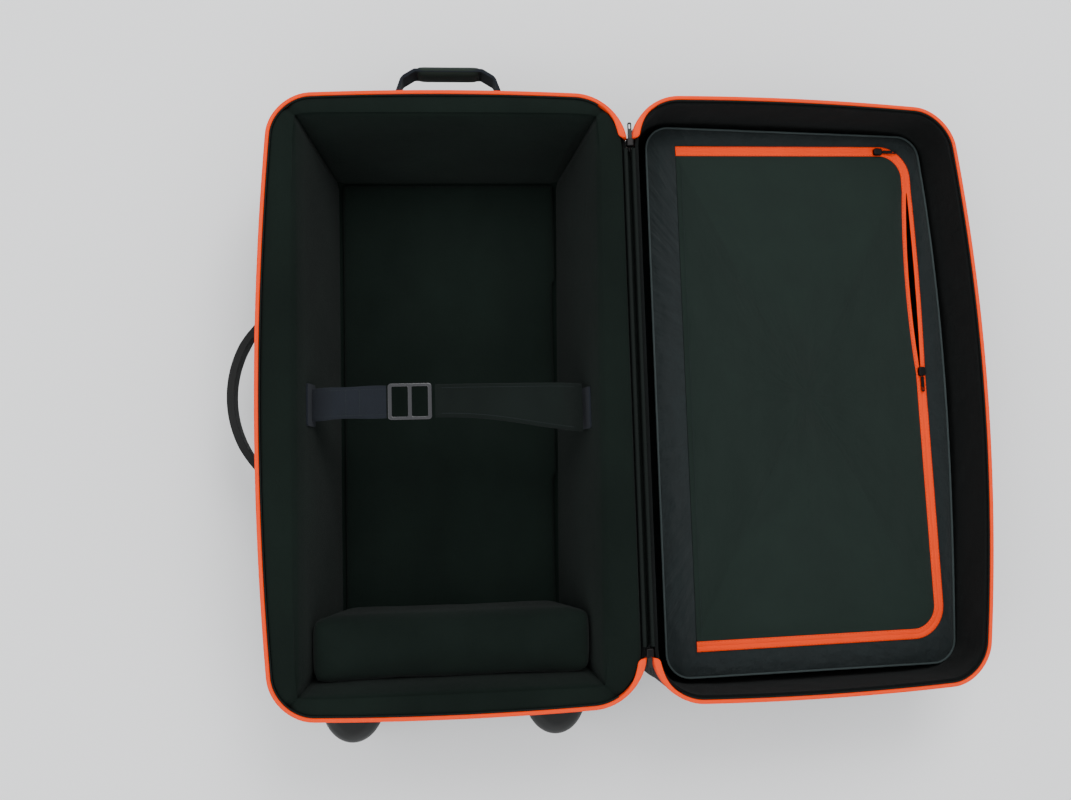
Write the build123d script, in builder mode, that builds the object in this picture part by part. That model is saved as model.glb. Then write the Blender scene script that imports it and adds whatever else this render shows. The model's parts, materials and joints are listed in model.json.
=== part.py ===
"""A wheeled telescope carry case, lying open on its back, as separate pieces.

Units are millimetres. The origin is the middle of the body's back face, +X runs to the
hinge and the opened lid, +Y to the top end with the carrying handle, +Z is up, out of the
open body. Both halves are drawn on their own rim plane as (u, v): u runs from the hinge
line across the rim, and v runs along the hinge.
"""
import os
from math import cos, radians, sin, tan

from build123d import *

# ---- Case ----
LENGTH = 720.0            # length of both rims, between the straight ends of the corners
WIDTH = 425.0             # width of both rims at their ends
BODY_DEPTH = 190.0
BODY_BOW = 17.0           # how far the body's outer side bulges
LID_BOW = 26.0            # the softer lid bulges more
END_BOW = 6.0
OUTER_CORNER = 48.0
HINGE_CORNER = 62.0
BACK_EDGE = 24.0          # radius between the walls and the back
DRAFT = 3.0               # degrees that the shell walls lean
SHELL = 4.0
FIT = 0.3                 # play between stacked pieces
HINGE_GAP = 2.5           # from the hinge line to either rim
LID_DROOP = 5.5           # degrees that the opened lid hangs below level
RIM_CLEAR = 0.3           # from the closing plane to either zip tape

# ---- Main zip ----
TAPE_HEIGHT = 10.0
TAPE_WIDTH = 4.5
COIL_WIDTH = 2.2
COIL_HEIGHT = 3.4
TAPE_END = 306.0          # half the hinge side that the zip leaves free
BINDING_END = 296.0
SPINE_RADIUS = 2.0
SLIDER = (9.0, 9.2, 7.0)
PULL_WIDTH = 5.0
PULL_LENGTH = 20.0
PULL_THICK = 1.4

# ---- Foam lining of the body ----
BOARD_LEFT = 31.5         # board widths at the rim, beside the end corners
BOARD_TOP = 25.0
BOARD_BOTTOM = 26.0
BOARD_HINGE_TOP = 38.0
BOARD_HINGE_BOTTOM = 52.0
CAVITY_SLOPE = 12.0       # degrees that the foam walls lean in
CAVITY_CORNER = 7.0
BOARD_DROP = 4.3          # foam below the closing plane
MITRE_GAP = 0.2
FLOOR = 30.0              # top of the stiff floor board
FLOOR_BOARD = 3.0
FLOOR_PAD = 8.0
BLOCK_THICK = 80.0
BLOCK_TOP = 165.0
BLOCK_ROUND = 9.0
BLOCK_FIT = 0.7

# ---- Retaining strap ----
STRAP_Y = -5.0
STRAP_WIDTH = 38.0
STRAP_THICK = 2.2
PAD_STRAP_THICK = 5.0
PAD_STRAP_WIDE = 60.0
STRAP_LEVEL = 172.0
BUCKLE_LEFT = -79.6
BUCKLE_RIGHT = -28.0
BUCKLE_WIDTH = 43.0
BUCKLE_THICK = 4.0
BUCKLE_BAR = 5.0
ANCHOR_LEVEL = 150.0
ANCHOR_SIZE = (3.0, 50.0, 26.0)

# ---- Handles ----
HANDLE_LEVEL = 95.0
SIDE_HANDLE_Y = 12.0
SIDE_HANDLE_SPAN = 192.0
SIDE_HANDLE_RISE = 39.5
SIDE_HANDLE_THICK = 9.0
SIDE_HANDLE_WIDE = 24.0
PIVOT_OUT = 9.0           # handle pivots stand this far off the shell
PIN_RADIUS = 3.0
PIN_LENGTH = 8.0
RUNNING_FIT = 0.05
MOUNT_PLATE = 3.5
PLATE_PLAY = 0.1
TOP_HANDLE_LEVEL = 100.0
TOP_HANDLE_X = -1.0
TOP_HANDLE_SPAN = 154.0
TOP_HANDLE_FLAT = 86.0
TOP_HANDLE_RISE = 53.0
TOP_HANDLE_THICK = 4.0
TOP_HANDLE_WIDE = 30.0
TOP_GRIP = (82.0, 13.0, 32.0)

# ---- Pull handle ----
MIDDLE = -8.0             # wheels and pull handle stand about this line
TUBE_SPREAD = 75.0
TUBE_LEVEL = 16.0
OUTER_TUBE = (20.0, 12.0)
TUBE_WALL = 1.2
TUBE_PLAY = 0.2
TUBE_TOP = 338.0
TUBE_BOTTOM = -300.0
INNER_BOTTOM = -270.0
BEZEL = (196.0, 23.0, 20.0)
GRIP = (184.0, 22.0, 17.5)
GRIP_SOCKET = 14.0
BUTTON = (30.0, 9.0, 8.0)
BUTTON_PROUD = 2.5

# ---- Wheels ----
WHEEL_SPREAD = 121.0
WHEEL_Y = -383.5
WHEEL_LEVEL = 35.0
WHEEL_RADIUS = 25.0
WHEEL_WIDTH = 24.0
HUB_RADIUS = 19.0
SPOKE_HOLE = 2.8
AXLE_RADIUS = 4.0
AXLE_LENGTH = 54.0
BEARING_RADIUS = 9.0
BEARING_WIDTH = 7.0
HOUSING = (38.0, 49.0, 116.0)   # half width, reach and height of the domed housing
HOUSING_ROUND = 15.0
WELL_WIDTH = 32.0
WELL_PLAY = 4.0
FLANGE_HALF = 46.0
FLANGE_LOW = 26.0
FLANGE_HIGH = 126.0

# ---- Screws ----
SCREW_RADIUS = 2.0
HEAD_RADIUS = 4.0
HEAD_HEIGHT = 2.5
SCREW_LENGTH = 5.0
SEAT = 1.8                # screw seats stand this far off the shell

# ---- Lid pouch ----
POUCH_FACE = 52.0         # depth of the pouch's face below the lid's rim
LINING = 5.0
LINING_ROUND = 15.0
LINING_DROP = 4.5
POUCH_NEAR = 42.0
POUCH_HALF = 337.0
POUCH_FAR = (403.0, 423.0, 410.0)   # u of the bowed far side at its top, middle and bottom
POUCH_ROUND = 30.0
OVERHANG = 6.5            # the border stands out past the gusset
GUSSET_BOTTOM = 134.0
GUSSET = 3.0
BORDER = 4.0
FLAP_EDGE = 75.0          # u of the flap's sewn edge
SEAM_CORNERS = ((75.0, 312.0), (391.0, 321.0), (398.0, -305.0), (75.0, -306.0))
SEAM_ROUND = 36.0
POCKET_TAPE = 6.0
SEAM_PLAY = 0.2
FLAP_THICK = 3.0
POCKET_SLIDER = (9.0, 12.0, 4.5)
POCKET_PULL = (4.0, 20.0, 1.2)
PULL_GAP = 0.5            # between a pocket slider and its pull
SIDE_SLIDER = (394.3, 28.0)
TOP_SLIDER = (352.0, 319.6)

# ---- Worked out ----
LEAN = tan(radians(DRAFT))
HINGE_X = WIDTH / 2 + HINGE_GAP
SIN_DROOP = sin(radians(LID_DROOP))
COS_DROOP = cos(radians(LID_DROOP))
LID_REACH = HINGE_GAP + WIDTH + LID_BOW
# The opened lid's far edge comes down to the plane that the body lies on.
LID_DEPTH = BACK_EDGE + (BODY_DEPTH - BACK_EDGE - (LID_REACH - BACK_EDGE) * SIN_DROOP) / COS_DROOP

BODY = Plane(origin=(HINGE_X, 0, BODY_DEPTH), x_dir=(-1, 0, 0), z_dir=(0, 0, 1))
LID = Plane(origin=(HINGE_X, 0, BODY_DEPTH), x_dir=(COS_DROOP, 0, -SIN_DROOP),
            z_dir=(SIN_DROOP, 0, COS_DROOP))


def save(piece, name):
    """Label one finished piece and write it as its own file."""
    piece.part.label = name
    export_step(piece.part, f"parts/{name}.step")


def end_wall(x, z):
    """Distance from the middle of the body to an end wall's outer face."""
    across = x / (WIDTH / 2)
    return LENGTH / 2 + END_BOW * (1 - across**2) - (BODY_DEPTH - z) * LEAN


def side_wall(y, z):
    """Distance from the middle of the body to the outer side's outer face."""
    along = y / (LENGTH / 2)
    return WIDTH / 2 + BODY_BOW * (1 - along**2) - (BODY_DEPTH - z) * LEAN


def rim_face(side_bow, inset):
    """The rim's outline: straight at the hinge, bowed on its three other sides."""
    near = HINGE_GAP + inset
    far = HINGE_GAP + WIDTH - inset
    half = LENGTH / 2 - inset
    with BuildSketch() as outline:
        with BuildLine():
            Line((near, -half), (near, half))
            ThreePointArc((near, half), ((near + far) / 2, half + END_BOW), (far, half))
            ThreePointArc((far, half), (far + side_bow, 0), (far, -half))
            ThreePointArc((far, -half), ((near + far) / 2, -half - END_BOW), (near, -half))
        make_face()
        corners_by_side = outline.vertices().group_by(Axis.X)
        fillet(corners_by_side[-1], OUTER_CORNER - inset)
        fillet(outline.vertices().group_by(Axis.X)[0], HINGE_CORNER - inset)
    return outline.sketch


def tub(plane, side_bow, inset, top, depth, edge_radius=0):
    """A filled half of the case, from a depth of top below its rim plane down to depth."""
    upper_face = rim_face(side_bow, inset + top * LEAN)
    lower_face = rim_face(side_bow, inset + depth * LEAN)
    with BuildPart() as form:
        with BuildSketch(plane.offset(-top)):
            add(upper_face)
        with BuildSketch(plane.offset(-depth)):
            add(lower_face)
        loft()
        if edge_radius:
            back = form.edges().group_by(Axis(plane.origin, plane.z_dir))[0]
            fillet(back, edge_radius)
    return form.part


def cavity_face(inset):
    """The foam-lined hollow's mouth, narrower at the bottom end of the hinge side."""
    left = -WIDTH / 2 + BOARD_LEFT + inset
    right_top = WIDTH / 2 - BOARD_HINGE_TOP - inset
    right_bottom = WIDTH / 2 - BOARD_HINGE_BOTTOM - inset
    upper = LENGTH / 2 - BOARD_TOP - inset
    lower = -LENGTH / 2 + BOARD_BOTTOM + inset
    with BuildSketch() as mouth:
        Polygon((left, upper), (right_top, upper), (right_bottom, lower), (left, lower), align=None)
        fillet(mouth.vertices(), CAVITY_CORNER)
    return mouth.sketch


def cavity(inset, top, bottom):
    """The body's foam-lined hollow between two levels, shrunk by inset."""
    slope = tan(radians(CAVITY_SLOPE))
    upper_face = cavity_face(inset + (BODY_DEPTH - top) * slope)
    lower_face = cavity_face(inset + (BODY_DEPTH - bottom) * slope)
    with BuildPart() as form:
        with BuildSketch(Plane.XY.offset(top)):
            add(upper_face)
        with BuildSketch(Plane.XY.offset(bottom)):
            add(lower_face)
        loft()
    return form.part


def rim_ring(plane, side_bow, outer, inner, top, bottom):
    """A band that follows a rim between two insets and two depths."""
    outer_face = rim_face(side_bow, outer)
    inner_face = rim_face(side_bow, inner)
    with BuildPart() as ring:
        with BuildSketch(plane.offset(-bottom)):
            add(outer_face)
            add(inner_face, mode=Mode.SUBTRACT)
        extrude(amount=bottom - top)
    return ring.part


def screw_planes():
    """Seats of every screw: four on each wheel housing, two on each handle mount."""
    planes = []
    for side in (-1, 1):
        for across in (-1, 1):
            for level in (FLANGE_LOW + 10, FLANGE_HIGH - 8):
                x = MIDDLE + side * WHEEL_SPREAD + across * (FLANGE_HALF - 6)
                planes.append(Plane(origin=(x, -end_wall(x, level) - SEAT, level), z_dir=(0, -1, 0)))
    for end in (-1, 1):
        y = SIDE_HANDLE_Y + end * (SIDE_HANDLE_SPAN / 2 + 7)
        x = TOP_HANDLE_X + end * (TOP_HANDLE_SPAN / 2 + 8.6)
        for step in (-1, 1):
            level = HANDLE_LEVEL + step * 17
            planes.append(Plane(origin=(-side_wall(y, level) - SEAT, y, level), z_dir=(-1, 0, 0)))
            level = TOP_HANDLE_LEVEL + step * 17
            planes.append(Plane(origin=(x, end_wall(x, level) + SEAT, level), z_dir=(0, 1, 0)))
    return planes


os.makedirs("parts", exist_ok=True)
SCREWS = screw_planes()

with BuildPart() as screw_holes:
    for seat in SCREWS:
        with BuildSketch(seat):
            Circle(SCREW_RADIUS + RUNNING_FIT)
        extrude(amount=-SCREW_LENGTH - RUNNING_FIT)
        with BuildSketch(seat):
            Circle(HEAD_RADIUS + RUNNING_FIT)
        extrude(amount=HEAD_HEIGHT + 10)

with BuildPart() as mount_screws:
    for seat in SCREWS:
        with BuildSketch(seat):
            Circle(SCREW_RADIUS)
        extrude(amount=-SCREW_LENGTH)
        with BuildSketch(seat):
            Circle(HEAD_RADIUS)
        extrude(amount=HEAD_HEIGHT)
        with BuildSketch(seat.offset(HEAD_HEIGHT)):
            RegularPolygon(radius=2.0, side_count=6)
        extrude(amount=-1.2, mode=Mode.SUBTRACT)
save(mount_screws, "mount_screws")

# ---- Filled forms that several pieces share ----
body_outside = tub(BODY, BODY_BOW, -PLATE_PLAY, 0, BODY_DEPTH + PLATE_PLAY, BACK_EDGE)
body_plated = tub(BODY, BODY_BOW, -MOUNT_PLATE, 0, BODY_DEPTH, BACK_EDGE)
body_solid = tub(BODY, BODY_BOW, 0, TAPE_HEIGHT, BODY_DEPTH, BACK_EDGE)
body_inside = tub(BODY, BODY_BOW, SHELL, TAPE_HEIGHT, BODY_DEPTH - SHELL, BACK_EDGE - SHELL)
lid_solid = tub(LID, LID_BOW, 0, TAPE_HEIGHT, LID_DEPTH, BACK_EDGE)
lid_inside = tub(LID, LID_BOW, SHELL, TAPE_HEIGHT, LID_DEPTH - SHELL, BACK_EDGE - SHELL)

# ---- Shells ----
with BuildPart() as body_shell:
    add(body_solid)
    add(body_inside, mode=Mode.SUBTRACT)
    with BuildSketch(Plane.XY.offset(TUBE_LEVEL - BEZEL[2] / 2 - FIT)):
        with Locations((MIDDLE, TUBE_TOP + BEZEL[1] / 2 + 10)):
            Rectangle(BEZEL[0] + 2 * FIT, BEZEL[1] + 20)
    extrude(amount=BEZEL[2] + 2 * FIT, mode=Mode.SUBTRACT)
    add(screw_holes.part, mode=Mode.SUBTRACT)
save(body_shell, "body_shell")

with BuildPart() as lid_shell:
    add(lid_solid)
    add(lid_inside, mode=Mode.SUBTRACT)
save(lid_shell, "lid_shell")

# ---- Main zip, hinge binding and spine ----
for side_name, plane, bow in (("body", BODY, BODY_BOW), ("lid", LID, LID_BOW)):
    band = rim_ring(plane, bow, 0, TAPE_WIDTH, RIM_CLEAR, TAPE_HEIGHT)
    coil_band = rim_ring(plane, bow, TAPE_WIDTH, TAPE_WIDTH + COIL_WIDTH, RIM_CLEAR, COIL_HEIGHT)
    with BuildPart() as tape:
        add(band)
        with BuildSketch(plane):
            Rectangle(40, 2 * TAPE_END)
        extrude(amount=-2 * TAPE_HEIGHT, mode=Mode.SUBTRACT)
    save(tape, f"{side_name}_zip_tape")
    with BuildPart() as coil:
        add(coil_band)
        with BuildSketch(plane):
            Rectangle(50, 2 * TAPE_END)
        extrude(amount=-2 * TAPE_HEIGHT, mode=Mode.SUBTRACT)
    save(coil, f"{side_name}_zip_coil")
    with BuildPart() as binding:
        add(band)
        with BuildSketch(plane):
            Rectangle(40, 2 * BINDING_END)
        extrude(amount=-2 * TAPE_HEIGHT, mode=Mode.INTERSECT)
    save(binding, f"{side_name}_hinge_binding")

with BuildPart() as hinge_spine:
    with BuildSketch(Plane.XZ.offset(-BINDING_END)):
        with Locations((HINGE_X, BODY_DEPTH)):
            Circle(SPINE_RADIUS)
    extrude(amount=2 * BINDING_END)
save(hinge_spine, "hinge_spine")

slider_y = (BINDING_END + TAPE_END) / 2
for end_name, end in (("top", 1), ("bottom", -1)):
    with BuildPart() as slider:
        with Locations((HINGE_X, end * slider_y, BODY_DEPTH)):
            Box(*SLIDER)
        fillet(slider.edges().filter_by(Axis.Y), 2.0)
        fillet(slider.faces().sort_by(Axis.Z)[-1].edges().filter_by(Axis.X), 1.0)
    save(slider, f"main_slider_{end_name}")
    with BuildPart() as pull:
        start = slider_y + SLIDER[1] / 2 + 0.6
        with BuildSketch(Plane.XY.offset(BODY_DEPTH - PULL_THICK / 2)):
            with Locations((HINGE_X, end * (start + PULL_LENGTH / 2))):
                RectangleRounded(PULL_WIDTH, PULL_LENGTH, 2.0)
            with Locations((HINGE_X, end * (start + PULL_LENGTH - 5))):
                SlotOverall(6.0, 2.0, rotation=90, mode=Mode.SUBTRACT)
        extrude(amount=PULL_THICK)
    save(pull, f"main_pull_{end_name}")

# ---- Foam lining of the body ----
liner = tub(BODY, BODY_BOW, SHELL + 2 * FIT, BOARD_DROP, BODY_DEPTH - FLOOR - FIT)
hollow = cavity(0, BODY_DEPTH, FLOOR)
LEFT_X = -WIDTH / 2 + BOARD_LEFT
TOP_Y = LENGTH / 2 - BOARD_TOP
LOW_Y = -LENGTH / 2 + BOARD_BOTTOM
corners = (
    (LEFT_X, TOP_Y, -1, 1),
    (WIDTH / 2 - BOARD_HINGE_TOP, TOP_Y, 1, 1),
    (WIDTH / 2 - BOARD_HINGE_BOTTOM, LOW_Y, 1, -1),
    (LEFT_X, LOW_Y, -1, -1),
)
for index, name in enumerate(("foam_top", "foam_hinge_side", "foam_bottom", "foam_outer_side")):
    x_a, y_a, sign_x_a, sign_y_a = corners[index]
    x_b, y_b, sign_x_b, sign_y_b = corners[(index + 1) % 4]
    with BuildPart() as board:
        add(liner)
        add(hollow, mode=Mode.SUBTRACT)
        with BuildSketch(Plane.XY):
            Polygon(
                (x_a - 50 * sign_x_a, y_a - 50 * sign_y_a), (x_a + 90 * sign_x_a, y_a + 90 * sign_y_a),
                (x_b + 90 * sign_x_b, y_b + 90 * sign_y_b), (x_b - 50 * sign_x_b, y_b - 50 * sign_y_b),
                align=None,
            )
            offset(amount=-MITRE_GAP, kind=Kind.INTERSECTION)
        extrude(amount=BODY_DEPTH, both=True, mode=Mode.INTERSECT)
    save(board, name)

with BuildPart() as floor_board:
    add(tub(BODY, BODY_BOW, SHELL + 2 * FIT, BODY_DEPTH - FLOOR, BODY_DEPTH - FLOOR + FLOOR_BOARD))
save(floor_board, "floor_board")

with BuildPart() as floor_pad:
    add(cavity(2 * FIT, FLOOR + FLOOR_PAD, FLOOR + FIT))
save(floor_pad, "floor_pad")

with BuildPart() as foam_block:
    add(cavity(BLOCK_FIT, BLOCK_TOP, FLOOR + FLOOR_PAD + FIT))
    with BuildSketch(Plane.XY):
        with Locations((0, LOW_Y - 50 + (BLOCK_THICK + 50) / 2)):
            Rectangle(WIDTH, BLOCK_THICK + 50)
    extrude(amount=BODY_DEPTH, mode=Mode.INTERSECT)
    fillet(foam_block.faces().sort_by(Axis.Z)[-1].edges(), BLOCK_ROUND)
save(foam_block, "foam_block")

# ---- Retaining strap ----
slope = tan(radians(CAVITY_SLOPE))
anchor_left_x = LEFT_X + (BODY_DEPTH - ANCHOR_LEVEL) * slope
hinge_board = BOARD_HINGE_TOP + (BOARD_HINGE_BOTTOM - BOARD_HINGE_TOP) * (TOP_Y - STRAP_Y) / (TOP_Y - LOW_Y)
anchor_right_x = WIDTH / 2 - hinge_board - (BODY_DEPTH - ANCHOR_LEVEL) * slope
for name, x, inward, y in (("strap_anchor_left", anchor_left_x, 1, STRAP_Y),
                           ("strap_anchor_right", anchor_right_x, -1, STRAP_Y - 10)):
    face = Plane(origin=(x, y, ANCHOR_LEVEL), x_dir=(0, 1, 0),
                 z_dir=(inward * cos(radians(CAVITY_SLOPE)), 0, sin(radians(CAVITY_SLOPE))))
    with BuildPart() as anchor:
        with BuildSketch(face.offset(0.9)):
            RectangleRounded(ANCHOR_SIZE[1], ANCHOR_SIZE[2], 3.0)
        extrude(amount=ANCHOR_SIZE[0] - 0.9)
    save(anchor, name)

strap_start = anchor_left_x + ANCHOR_SIZE[0] + 3.5
with BuildPart() as strap_left:
    with BuildSketch(Plane.XZ.offset(-STRAP_Y - STRAP_WIDTH / 2)):
        with BuildLine():
            FilletPolyline((strap_start, ANCHOR_LEVEL + 1), (strap_start + 22, STRAP_LEVEL - 4),
                           (BUCKLE_LEFT - 1.5, STRAP_LEVEL), radius=20)
        trace(line_width=STRAP_THICK)
    extrude(amount=STRAP_WIDTH)
save(strap_left, "strap_left")

with BuildPart() as strap_buckle:
    with BuildSketch(Plane.XY.offset(STRAP_LEVEL - BUCKLE_THICK / 2 + 0.5)):
        with Locations(((BUCKLE_LEFT + BUCKLE_RIGHT) / 2, STRAP_Y)):
            RectangleRounded(BUCKLE_RIGHT - BUCKLE_LEFT, BUCKLE_WIDTH, 4.0)
            window = (BUCKLE_RIGHT - BUCKLE_LEFT - 3 * BUCKLE_BAR) / 2
            with GridLocations(window + BUCKLE_BAR, 0, 2, 1):
                RectangleRounded(window, BUCKLE_WIDTH - 8, 1.5, mode=Mode.SUBTRACT)
    extrude(amount=BUCKLE_THICK)
    fillet(strap_buckle.faces().sort_by(Axis.Z)[-1].edges(), 1.0)
save(strap_buckle, "strap_buckle")

pad_start = anchor_right_x - ANCHOR_SIZE[0] - 5.0
with BuildPart() as strap_right:
    with BuildSketch(Plane.XZ.offset(-STRAP_Y - PAD_STRAP_WIDE)):
        with BuildLine():
            FilletPolyline((BUCKLE_RIGHT + 3.2, STRAP_LEVEL + 0.5), (pad_start - 26, STRAP_LEVEL - 4),
                           (pad_start, ANCHOR_LEVEL + 3), radius=20)
        trace(line_width=PAD_STRAP_THICK)
    extrude(amount=2 * PAD_STRAP_WIDE)
    with BuildSketch(Plane.XY):
        Polygon((BUCKLE_RIGHT, STRAP_Y - STRAP_WIDTH / 2 - 1), (BUCKLE_RIGHT, STRAP_Y + STRAP_WIDTH / 2 + 1),
                (pad_start + 10, STRAP_Y + STRAP_WIDTH / 2 + 1),
                (pad_start + 10, STRAP_Y + STRAP_WIDTH / 2 + 1 - PAD_STRAP_WIDE), align=None)
    extrude(amount=BODY_DEPTH, both=True, mode=Mode.INTERSECT)
save(strap_right, "strap_right")

# ---- Side handle ----
side_pivot = -side_wall(SIDE_HANDLE_Y, HANDLE_LEVEL) - PIVOT_OUT
half_span = SIDE_HANDLE_SPAN / 2
with BuildPart() as side_handle:
    with BuildSketch(Plane.XY.offset(HANDLE_LEVEL - SIDE_HANDLE_WIDE / 2)):
        with BuildLine():
            ThreePointArc((side_pivot, SIDE_HANDLE_Y - half_span),
                          (side_pivot - SIDE_HANDLE_RISE, SIDE_HANDLE_Y),
                          (side_pivot, SIDE_HANDLE_Y + half_span))
        trace(line_width=SIDE_HANDLE_THICK)
    extrude(amount=SIDE_HANDLE_WIDE)
    with BuildSketch(Plane.YZ):
        with Locations((SIDE_HANDLE_Y, HANDLE_LEVEL)):
            Polygon((-half_span - 9, -4.5), (-half_span + 8, -4.5), (-half_span + 32, -SIDE_HANDLE_WIDE / 2),
                    (half_span - 32, -SIDE_HANDLE_WIDE / 2), (half_span - 8, -4.5), (half_span + 9, -4.5),
                    (half_span + 9, 4.5), (half_span - 8, 4.5), (half_span - 32, SIDE_HANDLE_WIDE / 2),
                    (-half_span + 32, SIDE_HANDLE_WIDE / 2), (-half_span + 8, 4.5), (-half_span - 9, 4.5),
                    align=None)
    extrude(amount=2 * WIDTH, both=True, mode=Mode.INTERSECT)
    with BuildSketch(Plane.XZ.offset(-SIDE_HANDLE_Y - half_span - PIN_LENGTH)):
        with Locations((side_pivot, HANDLE_LEVEL)):
            Circle(PIN_RADIUS)
    extrude(amount=SIDE_HANDLE_SPAN + 2 * PIN_LENGTH)
    with BuildSketch(Plane.XY):
        with Locations((side_pivot + 50 + 5, SIDE_HANDLE_Y)):
            Rectangle(100, SIDE_HANDLE_SPAN - 20)
    extrude(amount=BODY_DEPTH, mode=Mode.SUBTRACT)
    with BuildSketch(Plane.XY):
        with Locations((side_pivot + 5, SIDE_HANDLE_Y)):
            Rectangle(30, SIDE_HANDLE_SPAN - 30)
    extrude(amount=BODY_DEPTH, mode=Mode.SUBTRACT)
save(side_handle, "side_handle")

with BuildPart() as side_handle_mounts:
    for end in (-1, 1):
        with Locations((side_pivot + 20, SIDE_HANDLE_Y + end * (half_span + 7), HANDLE_LEVEL)):
            Box(40, 22, 46)
    add(body_plated, mode=Mode.INTERSECT)
    for end in (-1, 1):
        with Locations((side_pivot + 10, SIDE_HANDLE_Y + end * (half_span + 12), HANDLE_LEVEL)):
            Box(30, 12, 16)
    add(body_outside, mode=Mode.SUBTRACT)
    with BuildSketch(Plane.XZ.offset(-SIDE_HANDLE_Y - half_span - 30)):
        with Locations((side_pivot, HANDLE_LEVEL)):
            Circle(PIN_RADIUS + RUNNING_FIT)
    extrude(amount=SIDE_HANDLE_SPAN + 60, mode=Mode.SUBTRACT)
    add(screw_holes.part, mode=Mode.SUBTRACT)
save(side_handle_mounts, "side_handle_mounts")

# ---- Top handle ----
top_pivot = end_wall(TOP_HANDLE_X, TOP_HANDLE_LEVEL) + PIVOT_OUT
top_half = TOP_HANDLE_SPAN / 2
flat_half = TOP_HANDLE_FLAT / 2
with BuildPart() as top_handle_strap:
    with BuildSketch(Plane.XY.offset(TOP_HANDLE_LEVEL - TOP_HANDLE_WIDE / 2)):
        with BuildLine():
            FilletPolyline((TOP_HANDLE_X - top_half, top_pivot),
                           (TOP_HANDLE_X - flat_half - 16, top_pivot + TOP_HANDLE_RISE - 10),
                           (TOP_HANDLE_X - flat_half, top_pivot + TOP_HANDLE_RISE),
                           (TOP_HANDLE_X + flat_half, top_pivot + TOP_HANDLE_RISE),
                           (TOP_HANDLE_X + flat_half + 16, top_pivot + TOP_HANDLE_RISE - 10),
                           (TOP_HANDLE_X + top_half, top_pivot), radius=6)
        trace(line_width=TOP_HANDLE_THICK)
    extrude(amount=TOP_HANDLE_WIDE)
    with BuildSketch(Plane.XZ):
        with Locations((TOP_HANDLE_X, TOP_HANDLE_LEVEL)):
            Polygon((-top_half - 1.5, -4), (-top_half + 6, -4), (-top_half + 20, -TOP_HANDLE_WIDE / 2),
                    (top_half - 20, -TOP_HANDLE_WIDE / 2), (top_half - 6, -4), (top_half + 1.5, -4),
                    (top_half + 1.5, 4), (top_half - 6, 4), (top_half - 20, TOP_HANDLE_WIDE / 2),
                    (-top_half + 20, TOP_HANDLE_WIDE / 2), (-top_half + 6, 4), (-top_half - 1.5, 4),
                    align=None)
    extrude(amount=LENGTH, both=True, mode=Mode.INTERSECT)
    for end in (-1, 1):
        with BuildSketch(Plane.YZ.offset(TOP_HANDLE_X + end * top_half)):
            with Locations((top_pivot, TOP_HANDLE_LEVEL)):
                Circle(PIN_RADIUS)
        extrude(amount=end * PIN_LENGTH)
        with BuildSketch(Plane.YZ.offset(TOP_HANDLE_X + end * (top_half - 5))):
            with Locations((top_pivot, TOP_HANDLE_LEVEL)):
                Circle(PIN_RADIUS + 1)
        extrude(amount=end * 5)
save(top_handle_strap, "top_handle_strap")

with BuildPart() as top_handle_grip:
    with Locations((TOP_HANDLE_X, top_pivot + TOP_HANDLE_RISE, TOP_HANDLE_LEVEL)):
        Box(*TOP_GRIP)
    fillet(top_handle_grip.edges().filter_by(Axis.X), 5.0)
    add(top_handle_strap.part, mode=Mode.SUBTRACT)
save(top_handle_grip, "top_handle_grip")

with BuildPart() as top_handle_mounts:
    for end in (-1, 1):
        with Locations((TOP_HANDLE_X + end * (top_half + 8.6), top_pivot - 20, TOP_HANDLE_LEVEL)):
            Box(22, 40, 46)
    add(body_plated, mode=Mode.INTERSECT)
    for end in (-1, 1):
        with Locations((TOP_HANDLE_X + end * (top_half + 8.6), top_pivot - 10, TOP_HANDLE_LEVEL)):
            Box(12, 30, 16)
    add(body_outside, mode=Mode.SUBTRACT)
    with BuildSketch(Plane.YZ.offset(TOP_HANDLE_X - top_half - 30)):
        with Locations((top_pivot, TOP_HANDLE_LEVEL)):
            Circle(PIN_RADIUS + RUNNING_FIT)
    extrude(amount=TOP_HANDLE_SPAN + 60, mode=Mode.SUBTRACT)
    add(screw_holes.part, mode=Mode.SUBTRACT)
save(top_handle_mounts, "top_handle_mounts")

# ---- Pull handle ----
inner_size = (OUTER_TUBE[0] - 2 * TUBE_WALL - 2 * TUBE_PLAY, OUTER_TUBE[1] - 2 * TUBE_WALL - 2 * TUBE_PLAY)
grip_y = TUBE_TOP + BEZEL[1] + 0.6
inner_top = grip_y + GRIP_SOCKET
for name, side in (("left", -1), ("right", 1)):
    with BuildPart() as outer_tube:
        with BuildSketch(Plane.XZ.offset(-TUBE_TOP + FIT)):
            with Locations((MIDDLE + side * TUBE_SPREAD, TUBE_LEVEL)):
                RectangleRounded(*OUTER_TUBE, 4.0)
                RectangleRounded(OUTER_TUBE[0] - 2 * TUBE_WALL, OUTER_TUBE[1] - 2 * TUBE_WALL, 2.8,
                                 mode=Mode.SUBTRACT)
        extrude(amount=TUBE_TOP - FIT - TUBE_BOTTOM)
    save(outer_tube, f"outer_tube_{name}")
    with BuildPart() as inner_tube:
        with BuildSketch(Plane.XZ.offset(-inner_top)):
            with Locations((MIDDLE + side * TUBE_SPREAD, TUBE_LEVEL)):
                RectangleRounded(*inner_size, 2.6)
                RectangleRounded(inner_size[0] - 2 * TUBE_WALL, inner_size[1] - 2 * TUBE_WALL, 1.4,
                                 mode=Mode.SUBTRACT)
        extrude(amount=inner_top - INNER_BOTTOM)
    save(inner_tube, f"inner_tube_{name}")

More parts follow.
